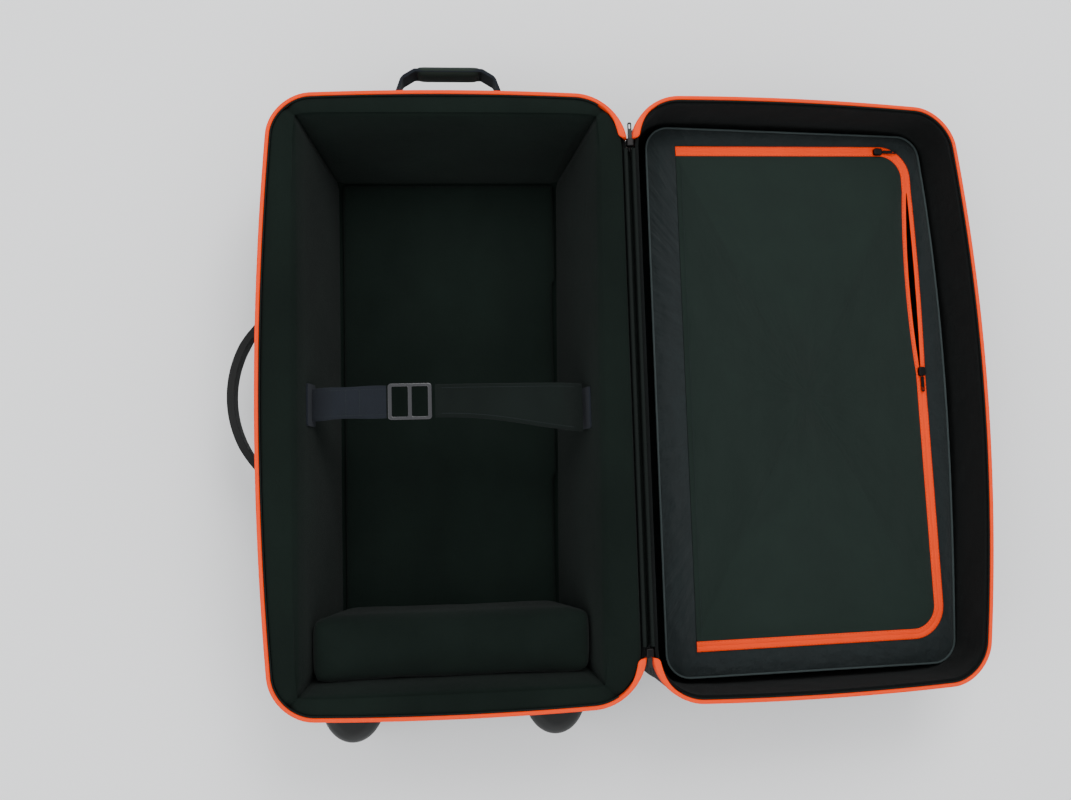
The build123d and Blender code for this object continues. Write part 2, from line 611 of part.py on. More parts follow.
with BuildPart() as tube_brackets:
    for side in (-1, 1):
        with Locations((MIDDLE + side * TUBE_SPREAD, TUBE_BOTTOM, TUBE_LEVEL - 0.5)):
            Box(30, 24, 21)
        with BuildSketch(Plane.XZ.offset(-TUBE_BOTTOM)):
            with Locations((MIDDLE + side * TUBE_SPREAD, TUBE_LEVEL)):
                RectangleRounded(OUTER_TUBE[0] + 0.1, OUTER_TUBE[1] + 0.1, 4.0)
        extrude(amount=-20, mode=Mode.SUBTRACT)
save(tube_brackets, "tube_brackets")

with BuildPart() as handle_bezel:
    with Locations((MIDDLE, TUBE_TOP + BEZEL[1] / 2, TUBE_LEVEL)):
        Box(*BEZEL)
    fillet(handle_bezel.edges().filter_by(Axis.Y), 5.0)
    with BuildSketch(Plane.XZ.offset(-TUBE_TOP - BEZEL[1])):
        with Locations((MIDDLE - TUBE_SPREAD, TUBE_LEVEL), (MIDDLE + TUBE_SPREAD, TUBE_LEVEL)):
            RectangleRounded(inner_size[0] + 2 * TUBE_PLAY, inner_size[1] + 2 * TUBE_PLAY, 2.8)
    extrude(amount=BEZEL[1], mode=Mode.SUBTRACT)
save(handle_bezel, "handle_bezel")

button_y = grip_y + GRIP[1] + BUTTON_PROUD
with BuildPart() as handle_grip:
    with Locations((MIDDLE, grip_y + GRIP[1] / 2, TUBE_LEVEL)):
        Box(*GRIP)
    fillet(handle_grip.edges().filter_by(Axis.X), 6.0)
    fillet(handle_grip.faces().sort_by(Axis.Y)[-1].edges().filter_by(Axis.Z), 4.0)
    with BuildSketch(Plane.XZ.offset(-grip_y)):
        with Locations((MIDDLE - TUBE_SPREAD, TUBE_LEVEL), (MIDDLE + TUBE_SPREAD, TUBE_LEVEL)):
            RectangleRounded(inner_size[0] + 0.1, inner_size[1] + 0.1, 2.6)
    extrude(amount=-GRIP_SOCKET - 0.1, mode=Mode.SUBTRACT)
    with BuildSketch(Plane.XZ.offset(-button_y)):
        with Locations((MIDDLE, TUBE_LEVEL)):
            RectangleRounded(BUTTON[0] + 2 * FIT, BUTTON[2] + 2 * FIT, 2.3)
    extrude(amount=BUTTON[1] + 4.0, mode=Mode.SUBTRACT)
save(handle_grip, "handle_grip")

with BuildPart() as handle_button:
    with BuildSketch(Plane.XZ.offset(-button_y)):
        with Locations((MIDDLE, TUBE_LEVEL)):
            RectangleRounded(BUTTON[0], BUTTON[2], 2.0)
    extrude(amount=BUTTON[1])
    fillet(handle_button.faces().sort_by(Axis.Y)[-1].edges(), 1.0)
save(handle_button, "handle_button")

# ---- Wheels ----
for name, side in (("left", -1), ("right", 1)):
    x = MIDDLE + side * WHEEL_SPREAD
    wall = -end_wall(x, WHEEL_LEVEL)
    axle_start = Plane.YZ.offset(x - AXLE_LENGTH / 2)
    with BuildPart() as housing:
        with BuildSketch(Plane.XY.offset(2)):
            with Locations((x, wall)):
                Ellipse(HOUSING[0], HOUSING[1])
        extrude(amount=HOUSING[2])
        fillet(housing.faces().sort_by(Axis.Z)[-1].edges(), HOUSING_ROUND)
        with BuildSketch(Plane.YZ.offset(x - WELL_WIDTH / 2)):
            with Locations((WHEEL_Y, WHEEL_LEVEL)):
                Circle(WHEEL_RADIUS + WELL_PLAY)
            with Locations((WHEEL_Y - 30, WHEEL_LEVEL - 10)):
                Rectangle(60, WHEEL_RADIUS * 2 + 12)
            with Locations((WHEEL_Y, 0)):
                Rectangle(WHEEL_RADIUS * 2 + 2 * WELL_PLAY, 2 * WHEEL_LEVEL)
        extrude(amount=WELL_WIDTH, mode=Mode.SUBTRACT)
        add(body_outside, mode=Mode.SUBTRACT)
    with BuildPart() as flange:
        add(body_plated)
        add(body_outside, mode=Mode.SUBTRACT)
        with BuildSketch(Plane.XZ.offset(LENGTH / 4)):
            with Locations((x, (FLANGE_LOW + FLANGE_HIGH) / 2)):
                RectangleRounded(2 * FLANGE_HALF, FLANGE_HIGH - FLANGE_LOW, 10.0)
        extrude(amount=LENGTH / 2, mode=Mode.INTERSECT)
        with BuildSketch(Plane.YZ.offset(x - WELL_WIDTH / 2)):
            with Locations((WHEEL_Y, WHEEL_LEVEL)):
                Circle(WHEEL_RADIUS + WELL_PLAY)
        extrude(amount=WELL_WIDTH, mode=Mode.SUBTRACT)
    with BuildPart() as wheel_housing:
        add(housing.part)
        add(flange.part)
        add(screw_holes.part, mode=Mode.SUBTRACT)
        with BuildSketch(axle_start):
            with Locations((WHEEL_Y, WHEEL_LEVEL)):
                Circle(AXLE_RADIUS + RUNNING_FIT)
        extrude(amount=AXLE_LENGTH, mode=Mode.SUBTRACT)
    save(wheel_housing, f"wheel_housing_{name}")
    with BuildPart() as axle:
        with BuildSketch(axle_start):
            with Locations((WHEEL_Y, WHEEL_LEVEL)):
                Circle(AXLE_RADIUS)
        extrude(amount=AXLE_LENGTH)
    save(axle, f"wheel_axle_{name}")
    with BuildPart() as hub:
        with BuildSketch(Plane.YZ.offset(x - WHEEL_WIDTH / 2 + 1)):
            with Locations((WHEEL_Y, WHEEL_LEVEL)):
                Circle(HUB_RADIUS)
                Circle(BEARING_RADIUS, mode=Mode.SUBTRACT)
        extrude(amount=WHEEL_WIDTH - 2)
        with BuildSketch(Plane.YZ.offset(x - WHEEL_WIDTH / 2 + 1)):
            with Locations((WHEEL_Y, WHEEL_LEVEL)):
                with PolarLocations((HUB_RADIUS + BEARING_RADIUS) / 2, 5):
                    Circle(SPOKE_HOLE)
        extrude(amount=WHEEL_WIDTH - 2, mode=Mode.SUBTRACT)
    save(hub, f"wheel_hub_{name}")
    with BuildPart() as tyre:
        with BuildSketch(Plane.YZ.offset(x - WHEEL_WIDTH / 2)):
            with Locations((WHEEL_Y, WHEEL_LEVEL)):
                Circle(WHEEL_RADIUS)
                Circle(HUB_RADIUS, mode=Mode.SUBTRACT)
        extrude(amount=WHEEL_WIDTH)
        outer_edges = tyre.edges().filter_by(GeomType.CIRCLE).sort_by(SortBy.RADIUS)[-2:]
        fillet(outer_edges, 5.0)
    save(tyre, f"wheel_tyre_{name}")
    with BuildPart() as bearings:
        for start in (x - WHEEL_WIDTH / 2 + 1, x + WHEEL_WIDTH / 2 - 1 - BEARING_WIDTH):
            with BuildSketch(Plane.YZ.offset(start)):
                with Locations((WHEEL_Y, WHEEL_LEVEL)):
                    Circle(BEARING_RADIUS - 0.02)
                    Circle(AXLE_RADIUS + RUNNING_FIT, mode=Mode.SUBTRACT)
            extrude(amount=BEARING_WIDTH)
    save(bearings, f"wheel_bearings_{name}")

# ---- Lid lining and pouch ----
lining_inside = tub(LID, LID_BOW, SHELL + FIT + LINING, 0, LID_DEPTH - SHELL - FIT - LINING, LINING_ROUND)
with BuildPart() as lid_lining:
    add(tub(LID, LID_BOW, SHELL + FIT + 0.5, LINING_DROP, LID_DEPTH - SHELL - FIT, BACK_EDGE - SHELL))
    add(lining_inside, mode=Mode.SUBTRACT)
save(lid_lining, "lid_lining")


def pouch_outline(inset, out=0.0):
    """The pouch's outline on the lid's plane, with its sides moved out before it is rounded."""
    far_top, far_middle, far_bottom = [far + out for far in POUCH_FAR]
    near, half = POUCH_NEAR - out, POUCH_HALF + out
    with BuildSketch() as outline:
        with BuildLine():
            Polyline((far_bottom, -half), (near, -half), (near, half), (far_top, half))
            ThreePointArc((far_top, half), (far_middle, 0), (far_bottom, -half))
        make_face()
        fillet(outline.vertices(), POUCH_ROUND)
        if inset:
            offset(amount=-inset)
    return outline.sketch


def seam_outline(grow):
    """The flap's outline along the middle of its zip, grown outwards, open at the sewn edge."""
    with BuildSketch() as outline:
        Polygon(*SEAM_CORNERS, align=None)
        far_corners = outline.vertices().sort_by(Axis.X)[-2:]
        fillet(far_corners, SEAM_ROUND)
        offset(amount=grow)
        with Locations((FLAP_EDGE - 50, 0)):
            Rectangle(100, LENGTH, mode=Mode.SUBTRACT)
    return outline.sketch


with BuildPart() as pouch_gusset:
    with BuildSketch(LID.offset(-POUCH_FACE - BORDER - FIT)):
        add(pouch_outline(0.5))
        add(pouch_outline(0.5 + GUSSET), mode=Mode.SUBTRACT)
    extrude(amount=-(GUSSET_BOTTOM - POUCH_FACE - BORDER - FIT))
save(pouch_gusset, "pouch_gusset")

with BuildPart() as pouch_border:
    with BuildSketch(LID.offset(-POUCH_FACE - BORDER)):
        add(pouch_outline(0, OVERHANG))
        add(seam_outline(POCKET_TAPE + 2 * SEAM_PLAY), mode=Mode.SUBTRACT)
    extrude(amount=BORDER)
save(pouch_border, "pouch_border")

for name, outer, inner in (("pouch_zip_outer", POCKET_TAPE + SEAM_PLAY, SEAM_PLAY),
                           ("pouch_zip_inner", -SEAM_PLAY, -POCKET_TAPE - SEAM_PLAY)):
    with BuildPart() as tape:
        with BuildSketch(LID.offset(-POUCH_FACE - 2.2)):
            add(seam_outline(outer))
            add(seam_outline(inner), mode=Mode.SUBTRACT)
            with Locations((FLAP_EDGE, 0)):
                Rectangle(1.0, LENGTH, mode=Mode.SUBTRACT)
        extrude(amount=1.4)
    save(tape, name)

with BuildPart() as pouch_flap:
    with BuildSketch(LID.offset(-POUCH_FACE - 0.5 - FLAP_THICK)):
        add(seam_outline(-POCKET_TAPE - 2 * SEAM_PLAY))
        with Locations((FLAP_EDGE, 0)):
            Rectangle(1.0, LENGTH, mode=Mode.SUBTRACT)
    extrude(amount=FLAP_THICK)
save(pouch_flap, "pouch_flap")

for name, spot, turn in (("side", SIDE_SLIDER, -90), ("top", TOP_SLIDER, 0)):
    along = (cos(radians(turn)), sin(radians(turn)))
    with BuildPart() as slider:
        with BuildSketch(LID.offset(-POUCH_FACE - 0.8 + 0.2)):
            with Locations(Location((*spot, 0), (0, 0, turn - 90))):
                RectangleRounded(POCKET_SLIDER[0], POCKET_SLIDER[1], 3.0)
        extrude(amount=POCKET_SLIDER[2])
        top_edges = slider.edges().group_by(Axis(LID.origin, LID.z_dir))[-1]
        fillet(top_edges, 1.2)
    save(slider, f"pouch_slider_{name}")
    reach = POCKET_SLIDER[1] / 2 + PULL_GAP + POCKET_PULL[1] / 2
    pull_spot = (spot[0] + along[0] * reach, spot[1] + along[1] * reach, 0)
    with BuildPart() as pull:
        with BuildSketch(LID.offset(-POUCH_FACE + 1.6)):
            with Locations(Location(pull_spot, (0, 0, turn - 90))):
                RectangleRounded(POCKET_PULL[0], POCKET_PULL[1], 1.8)
                with Locations((0, POCKET_PULL[1] / 2 - 4)):
                    SlotOverall(4.0, 1.6, rotation=90, mode=Mode.SUBTRACT)
        extrude(amount=POCKET_PULL[2])
    save(pull, f"pouch_pull_{name}")

print(f"lid depth {LID_DEPTH:.1f}, hinge line at x {HINGE_X:.1f}, z {BODY_DEPTH:.1f}")
print(f"side handle pivot x {side_pivot:.2f}, top handle pivot y {top_pivot:.2f}")
print(f"strap roots x {strap_start:.2f} and {pad_start:.2f}, grip from y {grip_y:.2f} to {button_y:.2f}")
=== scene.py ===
# %% [markdown]
# # A wheeled telescope case, lying open
#
# A soft case of this kind is two moulded foam tubs covered in cloth. A zip runs round both rims, a
# strip of cloth hinges them, and the body is lined with thick velour-covered foam. This lesson starts
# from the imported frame, which holds every hard part and joint at its real size, and dresses it: each
# soft part is a surface worked out with numpy, and each finish is a small node tree.

# %% Load the frame
import json
from math import cos, pi, radians, sin, tan

import bmesh
import bpy
import numpy as np
from mathutils import Matrix, Vector

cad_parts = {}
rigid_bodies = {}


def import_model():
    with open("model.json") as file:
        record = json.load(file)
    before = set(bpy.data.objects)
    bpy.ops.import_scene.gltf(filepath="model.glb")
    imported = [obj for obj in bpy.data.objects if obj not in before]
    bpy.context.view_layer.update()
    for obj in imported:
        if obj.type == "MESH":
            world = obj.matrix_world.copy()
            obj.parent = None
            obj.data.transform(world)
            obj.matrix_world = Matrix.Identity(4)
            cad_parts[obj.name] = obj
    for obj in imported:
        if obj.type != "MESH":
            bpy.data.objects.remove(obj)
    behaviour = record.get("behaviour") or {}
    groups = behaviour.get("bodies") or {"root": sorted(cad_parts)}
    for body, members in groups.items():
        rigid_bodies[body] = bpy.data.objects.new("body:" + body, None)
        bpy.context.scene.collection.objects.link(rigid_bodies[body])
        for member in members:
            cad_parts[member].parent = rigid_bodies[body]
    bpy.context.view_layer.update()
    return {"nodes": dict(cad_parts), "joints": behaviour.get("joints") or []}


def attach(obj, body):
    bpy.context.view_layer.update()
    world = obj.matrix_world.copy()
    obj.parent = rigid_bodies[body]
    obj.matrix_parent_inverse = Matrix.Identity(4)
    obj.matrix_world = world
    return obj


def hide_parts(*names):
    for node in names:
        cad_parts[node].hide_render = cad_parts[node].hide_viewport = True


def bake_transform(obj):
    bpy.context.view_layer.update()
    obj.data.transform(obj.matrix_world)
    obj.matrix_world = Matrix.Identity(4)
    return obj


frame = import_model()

nodes = frame["nodes"]

# %% [markdown]
# ## Measures
#
# Both halves are drawn on their own rim plane as (u, v, w): u runs from the hinge line across the
# rim, v along the hinge and w out of the rim. The hinge line and the lid's droop come from the
# record, and the rest are the case's own sizes, in metres.

# %% Measures
joints = {joint["name"]: joint for joint in frame["joints"]}
HINGE = np.array(joints["lid_hinge"]["pos_m"])
DROOP = radians(-joints["lid_hinge"]["range_deg"][0] - 180)
GAP, WIDTH, LENGTH = 0.0025, 0.425, 0.720  # hinge line to rim, then the rim itself
BOW = {"body": 0.017, "lid": 0.026}
END_BOW = 0.006
OUTER_CORNER, HINGE_CORNER = 0.048, 0.062
LEAN = tan(radians(3))
SHELL = 0.004
DEPTH = {"body": float(HINGE[2]), "lid": 0.1494}
BACK_EDGE = 0.024
FACE = -0.052  # the pouch's face, below the lid's rim
print("hinge line at", HINGE.round(4), "lid droop", round(DROOP, 4))


def place(side, u, v, w):
    """Rim-plane coordinates to the frame: the body's u runs to -X, the lid's u runs to +X and
    dips by the droop, with w along the tilted normal."""
    u, v, w = np.broadcast_arrays(u, v, w)
    if side == "body":
        return np.stack([HINGE[0] - u, v, HINGE[2] + w], axis=-1)
    return np.stack([HINGE[0] + u * cos(DROOP) + w * sin(DROOP), v,
                     HINGE[2] - u * sin(DROOP) + w * cos(DROOP)], axis=-1)

# %% [markdown]
# ## Walking along a line
#
# Many parts follow a line: stitches, zips, piping. A line is an array of points, and these helpers
# measure it, take points from it at given distances, and turn vectors into directions.

# %% Lines
def distance_along(line):
    """How far each point lies along a polyline: the running sum of the steps' lengths."""
    return np.concatenate([[0], np.cumsum(np.linalg.norm(np.diff(line, axis=0), axis=1))])


def sample_along(line, reach, at):
    """Every coordinate of the line, interpolated at the given distances."""
    return np.stack([np.interp(at, reach, line[:, axis]) for axis in range(line.shape[1])], -1)


def spread_evenly(line, count):
    """Points at equal distances along an open polyline."""
    reach = distance_along(line)
    return sample_along(line, reach, np.linspace(0, reach[-1], count))


def unit(vectors):
    """Each vector divided by its length."""
    return vectors / np.linalg.norm(vectors, axis=-1, keepdims=True)


def smoothstep(x):
    """0 below 0, 1 above 1, and 3x^2 - 2x^3 between."""
    x = np.clip(x, 0, 1)
    return x * x * (3 - 2 * x)


def ripple(a, b, seed, scale):
    """Soft creases: three slanted sine waves of falling height, with phases drawn from the seed."""
    draw = np.random.default_rng(seed)
    total = 0
    for step in range(3):
        angle, phase = draw.uniform(0, pi), draw.uniform(0, 2 * pi)
        reach = 2 * pi * (1.7**step) / scale
        total = total + np.sin((a * cos(angle) + b * sin(angle)) * reach + phase
                               + 1.5 * np.sin(reach * 0.37 * (a - b) + phase)) / (1.5**step)
    return total / 2


corner_line = np.array([[0, 0], [3, 0], [3, 4]])
print("a line of two steps:", distance_along(corner_line), "its middle:", spread_evenly(corner_line, 3)[1])

# %% [markdown]
# ## From arrays to pieces
#
# Every new piece is a grid of points, rows by columns. Where a grid closes on itself the first row
# or column is repeated, the UV map is measured along the grid in metres, and only then are the
# doubles merged, so the cloth's weave has no jump at the join. A row drawn into one point closes an
# end, and the merge turns it into a pole.

# %% Grid pieces
def capped(points):
    """The grid with its first and last rows drawn into their middles, which closes both ends."""
    first, last = points[:1], points[-1:]
    return np.concatenate([np.broadcast_to(first.mean(1, keepdims=True), first.shape), first, points,
                           last, np.broadcast_to(last.mean(1, keepdims=True), last.shape)])


def grid_mesh(name, points, around=False, along=False, crease=40):
    """A mesh of quads on an (n, m, 3) grid; around closes its columns and along its rows."""
    if around:
        points = np.concatenate([points, points[:, :1]], axis=1)
    if along:
        points = np.concatenate([points, points[:1]], axis=0)
    n, m = points.shape[:2]
    index = np.arange(n * m).reshape(n, m)
    quads = np.stack([index[:-1, :-1], index[1:, :-1], index[1:, 1:], index[:-1, 1:]], -1).reshape(-1, 4)
    mesh = bpy.data.meshes.new(name)
    mesh.from_pydata(points.reshape(-1, 3).tolist(), [], quads.tolist())
    steps_down = np.linalg.norm(np.diff(points, axis=0), axis=2).mean(1)
    steps_across = np.linalg.norm(np.diff(points, axis=1), axis=2)
    row = np.concatenate([[0], np.cumsum(steps_down)])
    column = np.concatenate([[0], np.cumsum(np.median(steps_across, axis=0))])
    uv = np.stack(np.broadcast_arrays(row[:, None], column[None, :]), -1).reshape(-1, 2)
    layer = mesh.uv_layers.new(name="cloth")
    layer.data.foreach_set("uv", uv[quads.reshape(-1)].astype(np.float32).reshape(-1))
    merge(mesh, crease)
    return mesh


def merge(mesh, crease=40, distance=1e-6):
    """Merges doubled points, turns every face outwards and smooths all but the sharp edges."""
    work = bmesh.new()
    work.from_mesh(mesh)
    bmesh.ops.remove_doubles(work, verts=work.verts, dist=distance)
    bmesh.ops.dissolve_degenerate(work, dist=distance, edges=work.edges)
    bmesh.ops.recalc_face_normals(work, faces=work.faces)
    for face in work.faces:
        face.smooth = True
    work.to_mesh(mesh)
    work.free()
    mesh.set_sharp_from_angle(angle=radians(crease))


made, told = {}, set()


def piece(name, mesh, finish, body, stands_for=()):
    """Puts a mesh in the scene as a named piece that rides on a body, if one is given."""
    thing = bpy.data.objects.new(name, mesh)
    bpy.context.scene.collection.objects.link(thing)
    mesh.materials.clear()
    mesh.materials.append(finish)
    if body:
        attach(thing, body)
    if stands_for:
        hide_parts(*stands_for)
    made[name] = thing
    return thing


def surface(name, points, finish, body, stands_for=(), around=True, along=False, crease=40):
    """A piece whose mesh is a grid of points."""
    return piece(name, grid_mesh(name, points, around, along, crease), finish, body, stands_for)


def tell(title):
    """Prints the pieces made since the last telling, with their faces."""
    fresh = [name for name in made if name not in told]
    told.update(fresh)
    print(f"{title}:", ", ".join(f"{name} ({len(made[name].data.polygons)})" for name in fresh))


print("grid helpers: capped, grid_mesh, merge, piece, surface")

# %% [markdown]
# ## Stitches
#
# A stitch is a short capsule of thread. Each one lies along its seam on the cloth's surface, a fixed
# pitch from the next, and a whole row is one mesh.

# %% Stitches
def seam(name, line, normal, finish, body, pitch=0.0035, length=0.0022, thick=0.00055):
    """A row of stitches: one short capsule per pitch, laid along the line on its surface. A capsule
    is four rings of six points about the line's direction, the outer rings drawn in."""
    nudge, rings, sides = 1e-4, 4, 6
    reach = distance_along(line)
    along = np.arange(pitch / 2, reach[-1], pitch)
    at = sample_along(line, reach, along)
    ahead = unit(sample_along(line, reach, np.minimum(along + nudge, reach[-1]))
                 - sample_along(line, reach, np.maximum(along - nudge, 0)))
    across = unit(np.cross(ahead, sample_along(np.broadcast_to(normal, line.shape), reach, along)))
    up = np.cross(across, ahead)
    ends = np.array([-1, -0.72, 0.72, 1]) * length / 2
    fat = np.array([0.15, 1, 1, 0.15]) * thick / 2
    turns = np.linspace(0, 2 * pi, sides, endpoint=False)
    ring = (across[:, None, None] * np.cos(turns)[None, None, :, None]
            + up[:, None, None] * np.sin(turns)[None, None, :, None]) * fat[None, :, None, None]
    spots = at[:, None, None] + ahead[:, None, None] * ends[None, :, None, None] + ring
    index = np.arange(len(at) * rings * sides).reshape(-1, rings, sides)
    quads = np.stack([index[:, :-1], index[:, 1:], np.roll(index[:, 1:], -1, 2),
                      np.roll(index[:, :-1], -1, 2)], -1).reshape(-1, 4)
    lids = np.concatenate([index[:, 0, ::-1], index[:, -1]])
    mesh = bpy.data.meshes.new(name)
    mesh.from_pydata(spots.reshape(-1, 3).tolist(), [], quads.tolist() + lids.tolist())
    layer = mesh.uv_layers.new(name="cloth")
    corner = np.empty(len(mesh.loops), dtype=np.int32)
    mesh.loops.foreach_get("vertex_index", corner)
    layer.data.foreach_set("uv", spots.reshape(-1, 3)[corner][:, :2].astype(np.float32).reshape(-1))
    merge(mesh)
    return piece(name, mesh, finish, body)


print("stitch helper: seam")

# %% [markdown]
# ## Shader arithmetic
#
# A node tree reads best as a sum. `Value` wraps a socket so that `1 - mask` adds a Math node, and
# `Finish.node` adds any other node, with its settings first and then its sockets.

# %% Shader helpers
class Value:
    """A shader socket whose arithmetic adds Math nodes to its material."""

    def __init__(self, finish, socket):
        self.finish, self.socket = finish, socket

    def _math(self, operation, first, second):
        return self.finish.node("ShaderNodeMath", {"operation": operation}, {0: first, 1: second})

    def __add__(self, other):
        return self._math("ADD", self, other)

    def __radd__(self, other):
        return self._math("ADD", other, self)

    def __sub__(self, other):
        return self._math("SUBTRACT", self, other)

    def __rsub__(self, other):
        return self._math("SUBTRACT", other, self)

    def __mul__(self, other):
        return self._math("MULTIPLY", self, other)

    def __rmul__(self, other):
        return self._math("MULTIPLY", other, self)

    def wave(self, period):
        """sin of 2 pi times the value over the period."""
        return self._math("SINE", self * (2 * pi / period), 0)


class Finish:
    """A material with one Principled shader and a few ways to vary it."""

    def __init__(self, name, roughness=0.6, metallic=0.0, sheen=0.0, coat=0.0, specular=0.5, space="Object"):
        self.material = bpy.data.materials.new(name)
        self.material.use_nodes = True
        self.tree = self.material.node_tree
        self.shader = self.tree.nodes["Principled BSDF"]
        constants = {"Roughness": roughness, "Metallic": metallic, "Sheen Weight": sheen, "Coat Weight": coat,
                     "Specular IOR Level": specular}
        for socket, number in constants.items():
            self.shader.inputs[socket].default_value = number
        self.space = self.node("ShaderNodeTexCoord", {}, {}, space)

    def node(self, kind, settings, inputs, output=0):
        """Adds a node: its settings, then its sockets as numbers, colours or other values."""
        made_node = self.tree.nodes.new(kind)
        for key, setting in settings.items():
            if key == "stops":
                ramp = made_node.color_ramp
                while len(ramp.elements) < len(setting):
                    ramp.elements.new(0.5)
                for element, (position, colour) in zip(ramp.elements, setting):
                    element.position, element.color = position, colour
            else:
                setattr(made_node, key, setting)
        for key, value in inputs.items():
            if isinstance(value, Value):
                self.tree.links.new(value.socket, made_node.inputs[key])
            else:
                made_node.inputs[key].default_value = value
        return Value(self, made_node.outputs[output])

    def noise(self, scale, detail=2.0, stretch=(1, 1, 1)):
        """Noise on the finish's space, finer along an axis that is stretched."""
        where = self.node("ShaderNodeMapping", {}, {"Vector": self.space, "Scale": stretch})
        return self.node("ShaderNodeTexNoise", {}, {"Vector": where, "Scale": scale, "Detail": detail}, "Fac")

    def axis(self, letter):
        """One coordinate of the finish's space."""
        return self.node("ShaderNodeSeparateXYZ", {}, {0: self.space}, letter)

    def blend(self, amount, low, high):
        """A colour between two others."""
        return self.node("ShaderNodeMix", {"data_type": "RGBA"}, {0: amount, 6: low, 7: high}, 2)

    def set(self, socket, value):
        """Links a value to one of the shader's sockets."""
        self.tree.links.new(value.socket, self.shader.inputs[socket])

    def bump(self, height, distance):
        """Raises the surface by a height of 0 to 1 times the distance."""
        self.set("Normal", self.node("ShaderNodeBump", {}, {"Height": height, "Distance": distance,
                                                            "Strength": 1.0}))


def rgba(red, green, blue):
    """A solid colour."""
    return (red, green, blue, 1.0)


def shade(colour, factor):
    """The colour times a factor, on its three channels."""
    return (*[min(1.0, channel * factor) for channel in colour[:3]], 1.0)


print("shader helpers: Value, Finish, rgba, shade; half of white is", shade(rgba(1, 1, 1), 0.5))

# %% [markdown]
# ## Cloth finishes
#
# Three kinds of cloth cover the case. Woven nylon has crossing threads, so its height is the product
# of two sine waves. Brushed velour is a short pile that lies this way and that: fine noise for the
# fibres, broad noise for the strokes, and sheen. Zip tape is a close rib across a narrow band.

# %% Cloth finishes
def woven(name, colour, thread=0.0009, space="UV", depth=0.00025, sheen=0.03, roughness=0.85, spread=0.4,
          specular=0.12, creased=0.0):
    """Plain weave: height is sin(x) times sin(y) at the thread's pitch, plus a little noise, and
    creases of the given height where the cloth is loose."""
    finish = Finish(name, roughness=roughness, sheen=sheen, specular=specular, space=space)
    if space == "UV":
        threads = finish.axis("X").wave(thread) * finish.axis("Y").wave(thread)
    else:
        threads = ((finish.axis("X") + finish.axis("Z")).wave(thread)
                   * (finish.axis("Y") + finish.axis("Z") * 0.5).wave(thread))
    worn = finish.noise(22, 4)
    tone = worn * 0.7 + threads * 0.15 + 0.1
    finish.set("Base Color", finish.blend(tone, shade(colour, 1 - spread), shade(colour, 1 + spread)))
    finish.set("Roughness", worn * 0.15 + (roughness - 0.08))
    height = threads * 0.5 + finish.noise(700, 1) * 0.5
    if creased:
        folds = finish.noise(26, 2, (1, 2.2, 1)) + finish.noise(75, 2, (1.8, 1, 1)) * 0.35
        height = height + folds * (creased / depth)
    finish.bump(height, depth)
    return finish.material


def velour(name, colour, sheen=0.03, space="Object"):
    """Brushed pile: fine fibre noise for height, and broad brushed patches for tone."""
    finish = Finish(name, roughness=0.97, sheen=sheen, specular=0.06, space=space)
    fibre = finish.noise(1500, 2)
    stroke = finish.noise(9, 4, (1, 0.6, 1.6))
    tone = stroke * 0.9 + fibre * 0.5 - 0.2
    finish.set("Base Color", finish.blend(tone, shade(colour, 0.45), shade(colour, 1.6)))
    finish.bump(fibre + finish.noise(160, 2) * 0.6, 0.0006)
    return finish.material


def ribbed_tape(name, colour, pitch=0.0011, roughness=0.55, spread=0.18):
    """Zip tape: ribs across the band, at the thread's pitch along it."""
    finish = Finish(name, roughness=roughness, sheen=0.0, specular=0.15, space="UV")
    ribs = finish.axis("X").wave(pitch)
    worn = finish.noise(60, 3)
    tone = ribs * 0.2 + worn * 0.6 + 0.2
    finish.set("Base Color", finish.blend(tone, shade(colour, 1 - spread), shade(colour, 1 + spread)))
    finish.bump(ribs * 0.5 + finish.axis("Y").wave(pitch * 0.8) * 0.4, 0.0002)
    return finish.material


print("kinds of cloth: woven, velour, ribbed_tape")

# %% [markdown]
# The case's own cloths are all close to black. They differ in tint, in the size of the thread and in
# how much they shine. The shell is the plainest, the pouch's border the glossiest, the velour the
# greenest, and only the zips are bright. The piping is lighter, but that is a painted highlight
# along its cord, not the colour of its cloth.

# %% The case's cloths
GREEN_BLACK = rgba(0.0052, 0.0088, 0.0070)
velour_dark = velour("velour_dark", GREEN_BLACK)
shell_cloth = woven("shell_cloth", rgba(0.0075, 0.0085, 0.0085), thread=0.0014)
lining_cloth = woven("lining_cloth", rgba(0.0024, 0.0034, 0.0032), thread=0.0008, creased=0.0020)
flap_cloth = woven("flap_cloth", rgba(0.0100, 0.0178, 0.0142), thread=0.0009, spread=0.3,
                   creased=0.0016)
border_cloth = woven("border_cloth", rgba(0.0062, 0.0108, 0.0112), thread=0.0009, sheen=0.04, roughness=0.6,
                     specular=0.22, creased=0.0045)
# painted highlight: the piping's colour is lighter than its dark cloth, to stand for the light along its
# round cord
piping_cloth = woven("piping_cloth", rgba(0.030, 0.043, 0.043), thread=0.0007, roughness=0.6, specular=0.3)
welt_cloth = woven("welt_cloth", rgba(0.011, 0.012, 0.012), thread=0.0010, roughness=0.6, specular=0.3)
webbing_cloth = woven("webbing_cloth", rgba(0.0110, 0.0135, 0.0185), thread=0.0019, depth=0.0005, sheen=0.05)
pile_strap = velour("pile_strap", rgba(0.0060, 0.0085, 0.0075), sheen=0.05)
grip_cloth = velour("grip_cloth", rgba(0.020, 0.027, 0.022), sheen=0.08)
binding_cloth = ribbed_tape("binding_cloth", rgba(0.0045, 0.0068, 0.0058), pitch=0.0022, roughness=0.85)
zip_orange = ribbed_tape("zip_orange", rgba(0.90, 0.050, 0.0002), roughness=0.65, spread=0.10)
thread_dark = woven("thread_dark", rgba(0.026, 0.033, 0.034), thread=0.0006)
thread_orange = woven("thread_orange", rgba(0.55, 0.040, 0.001), thread=0.0006)
print("materials so far, with the frame's own:", len(bpy.data.materials))

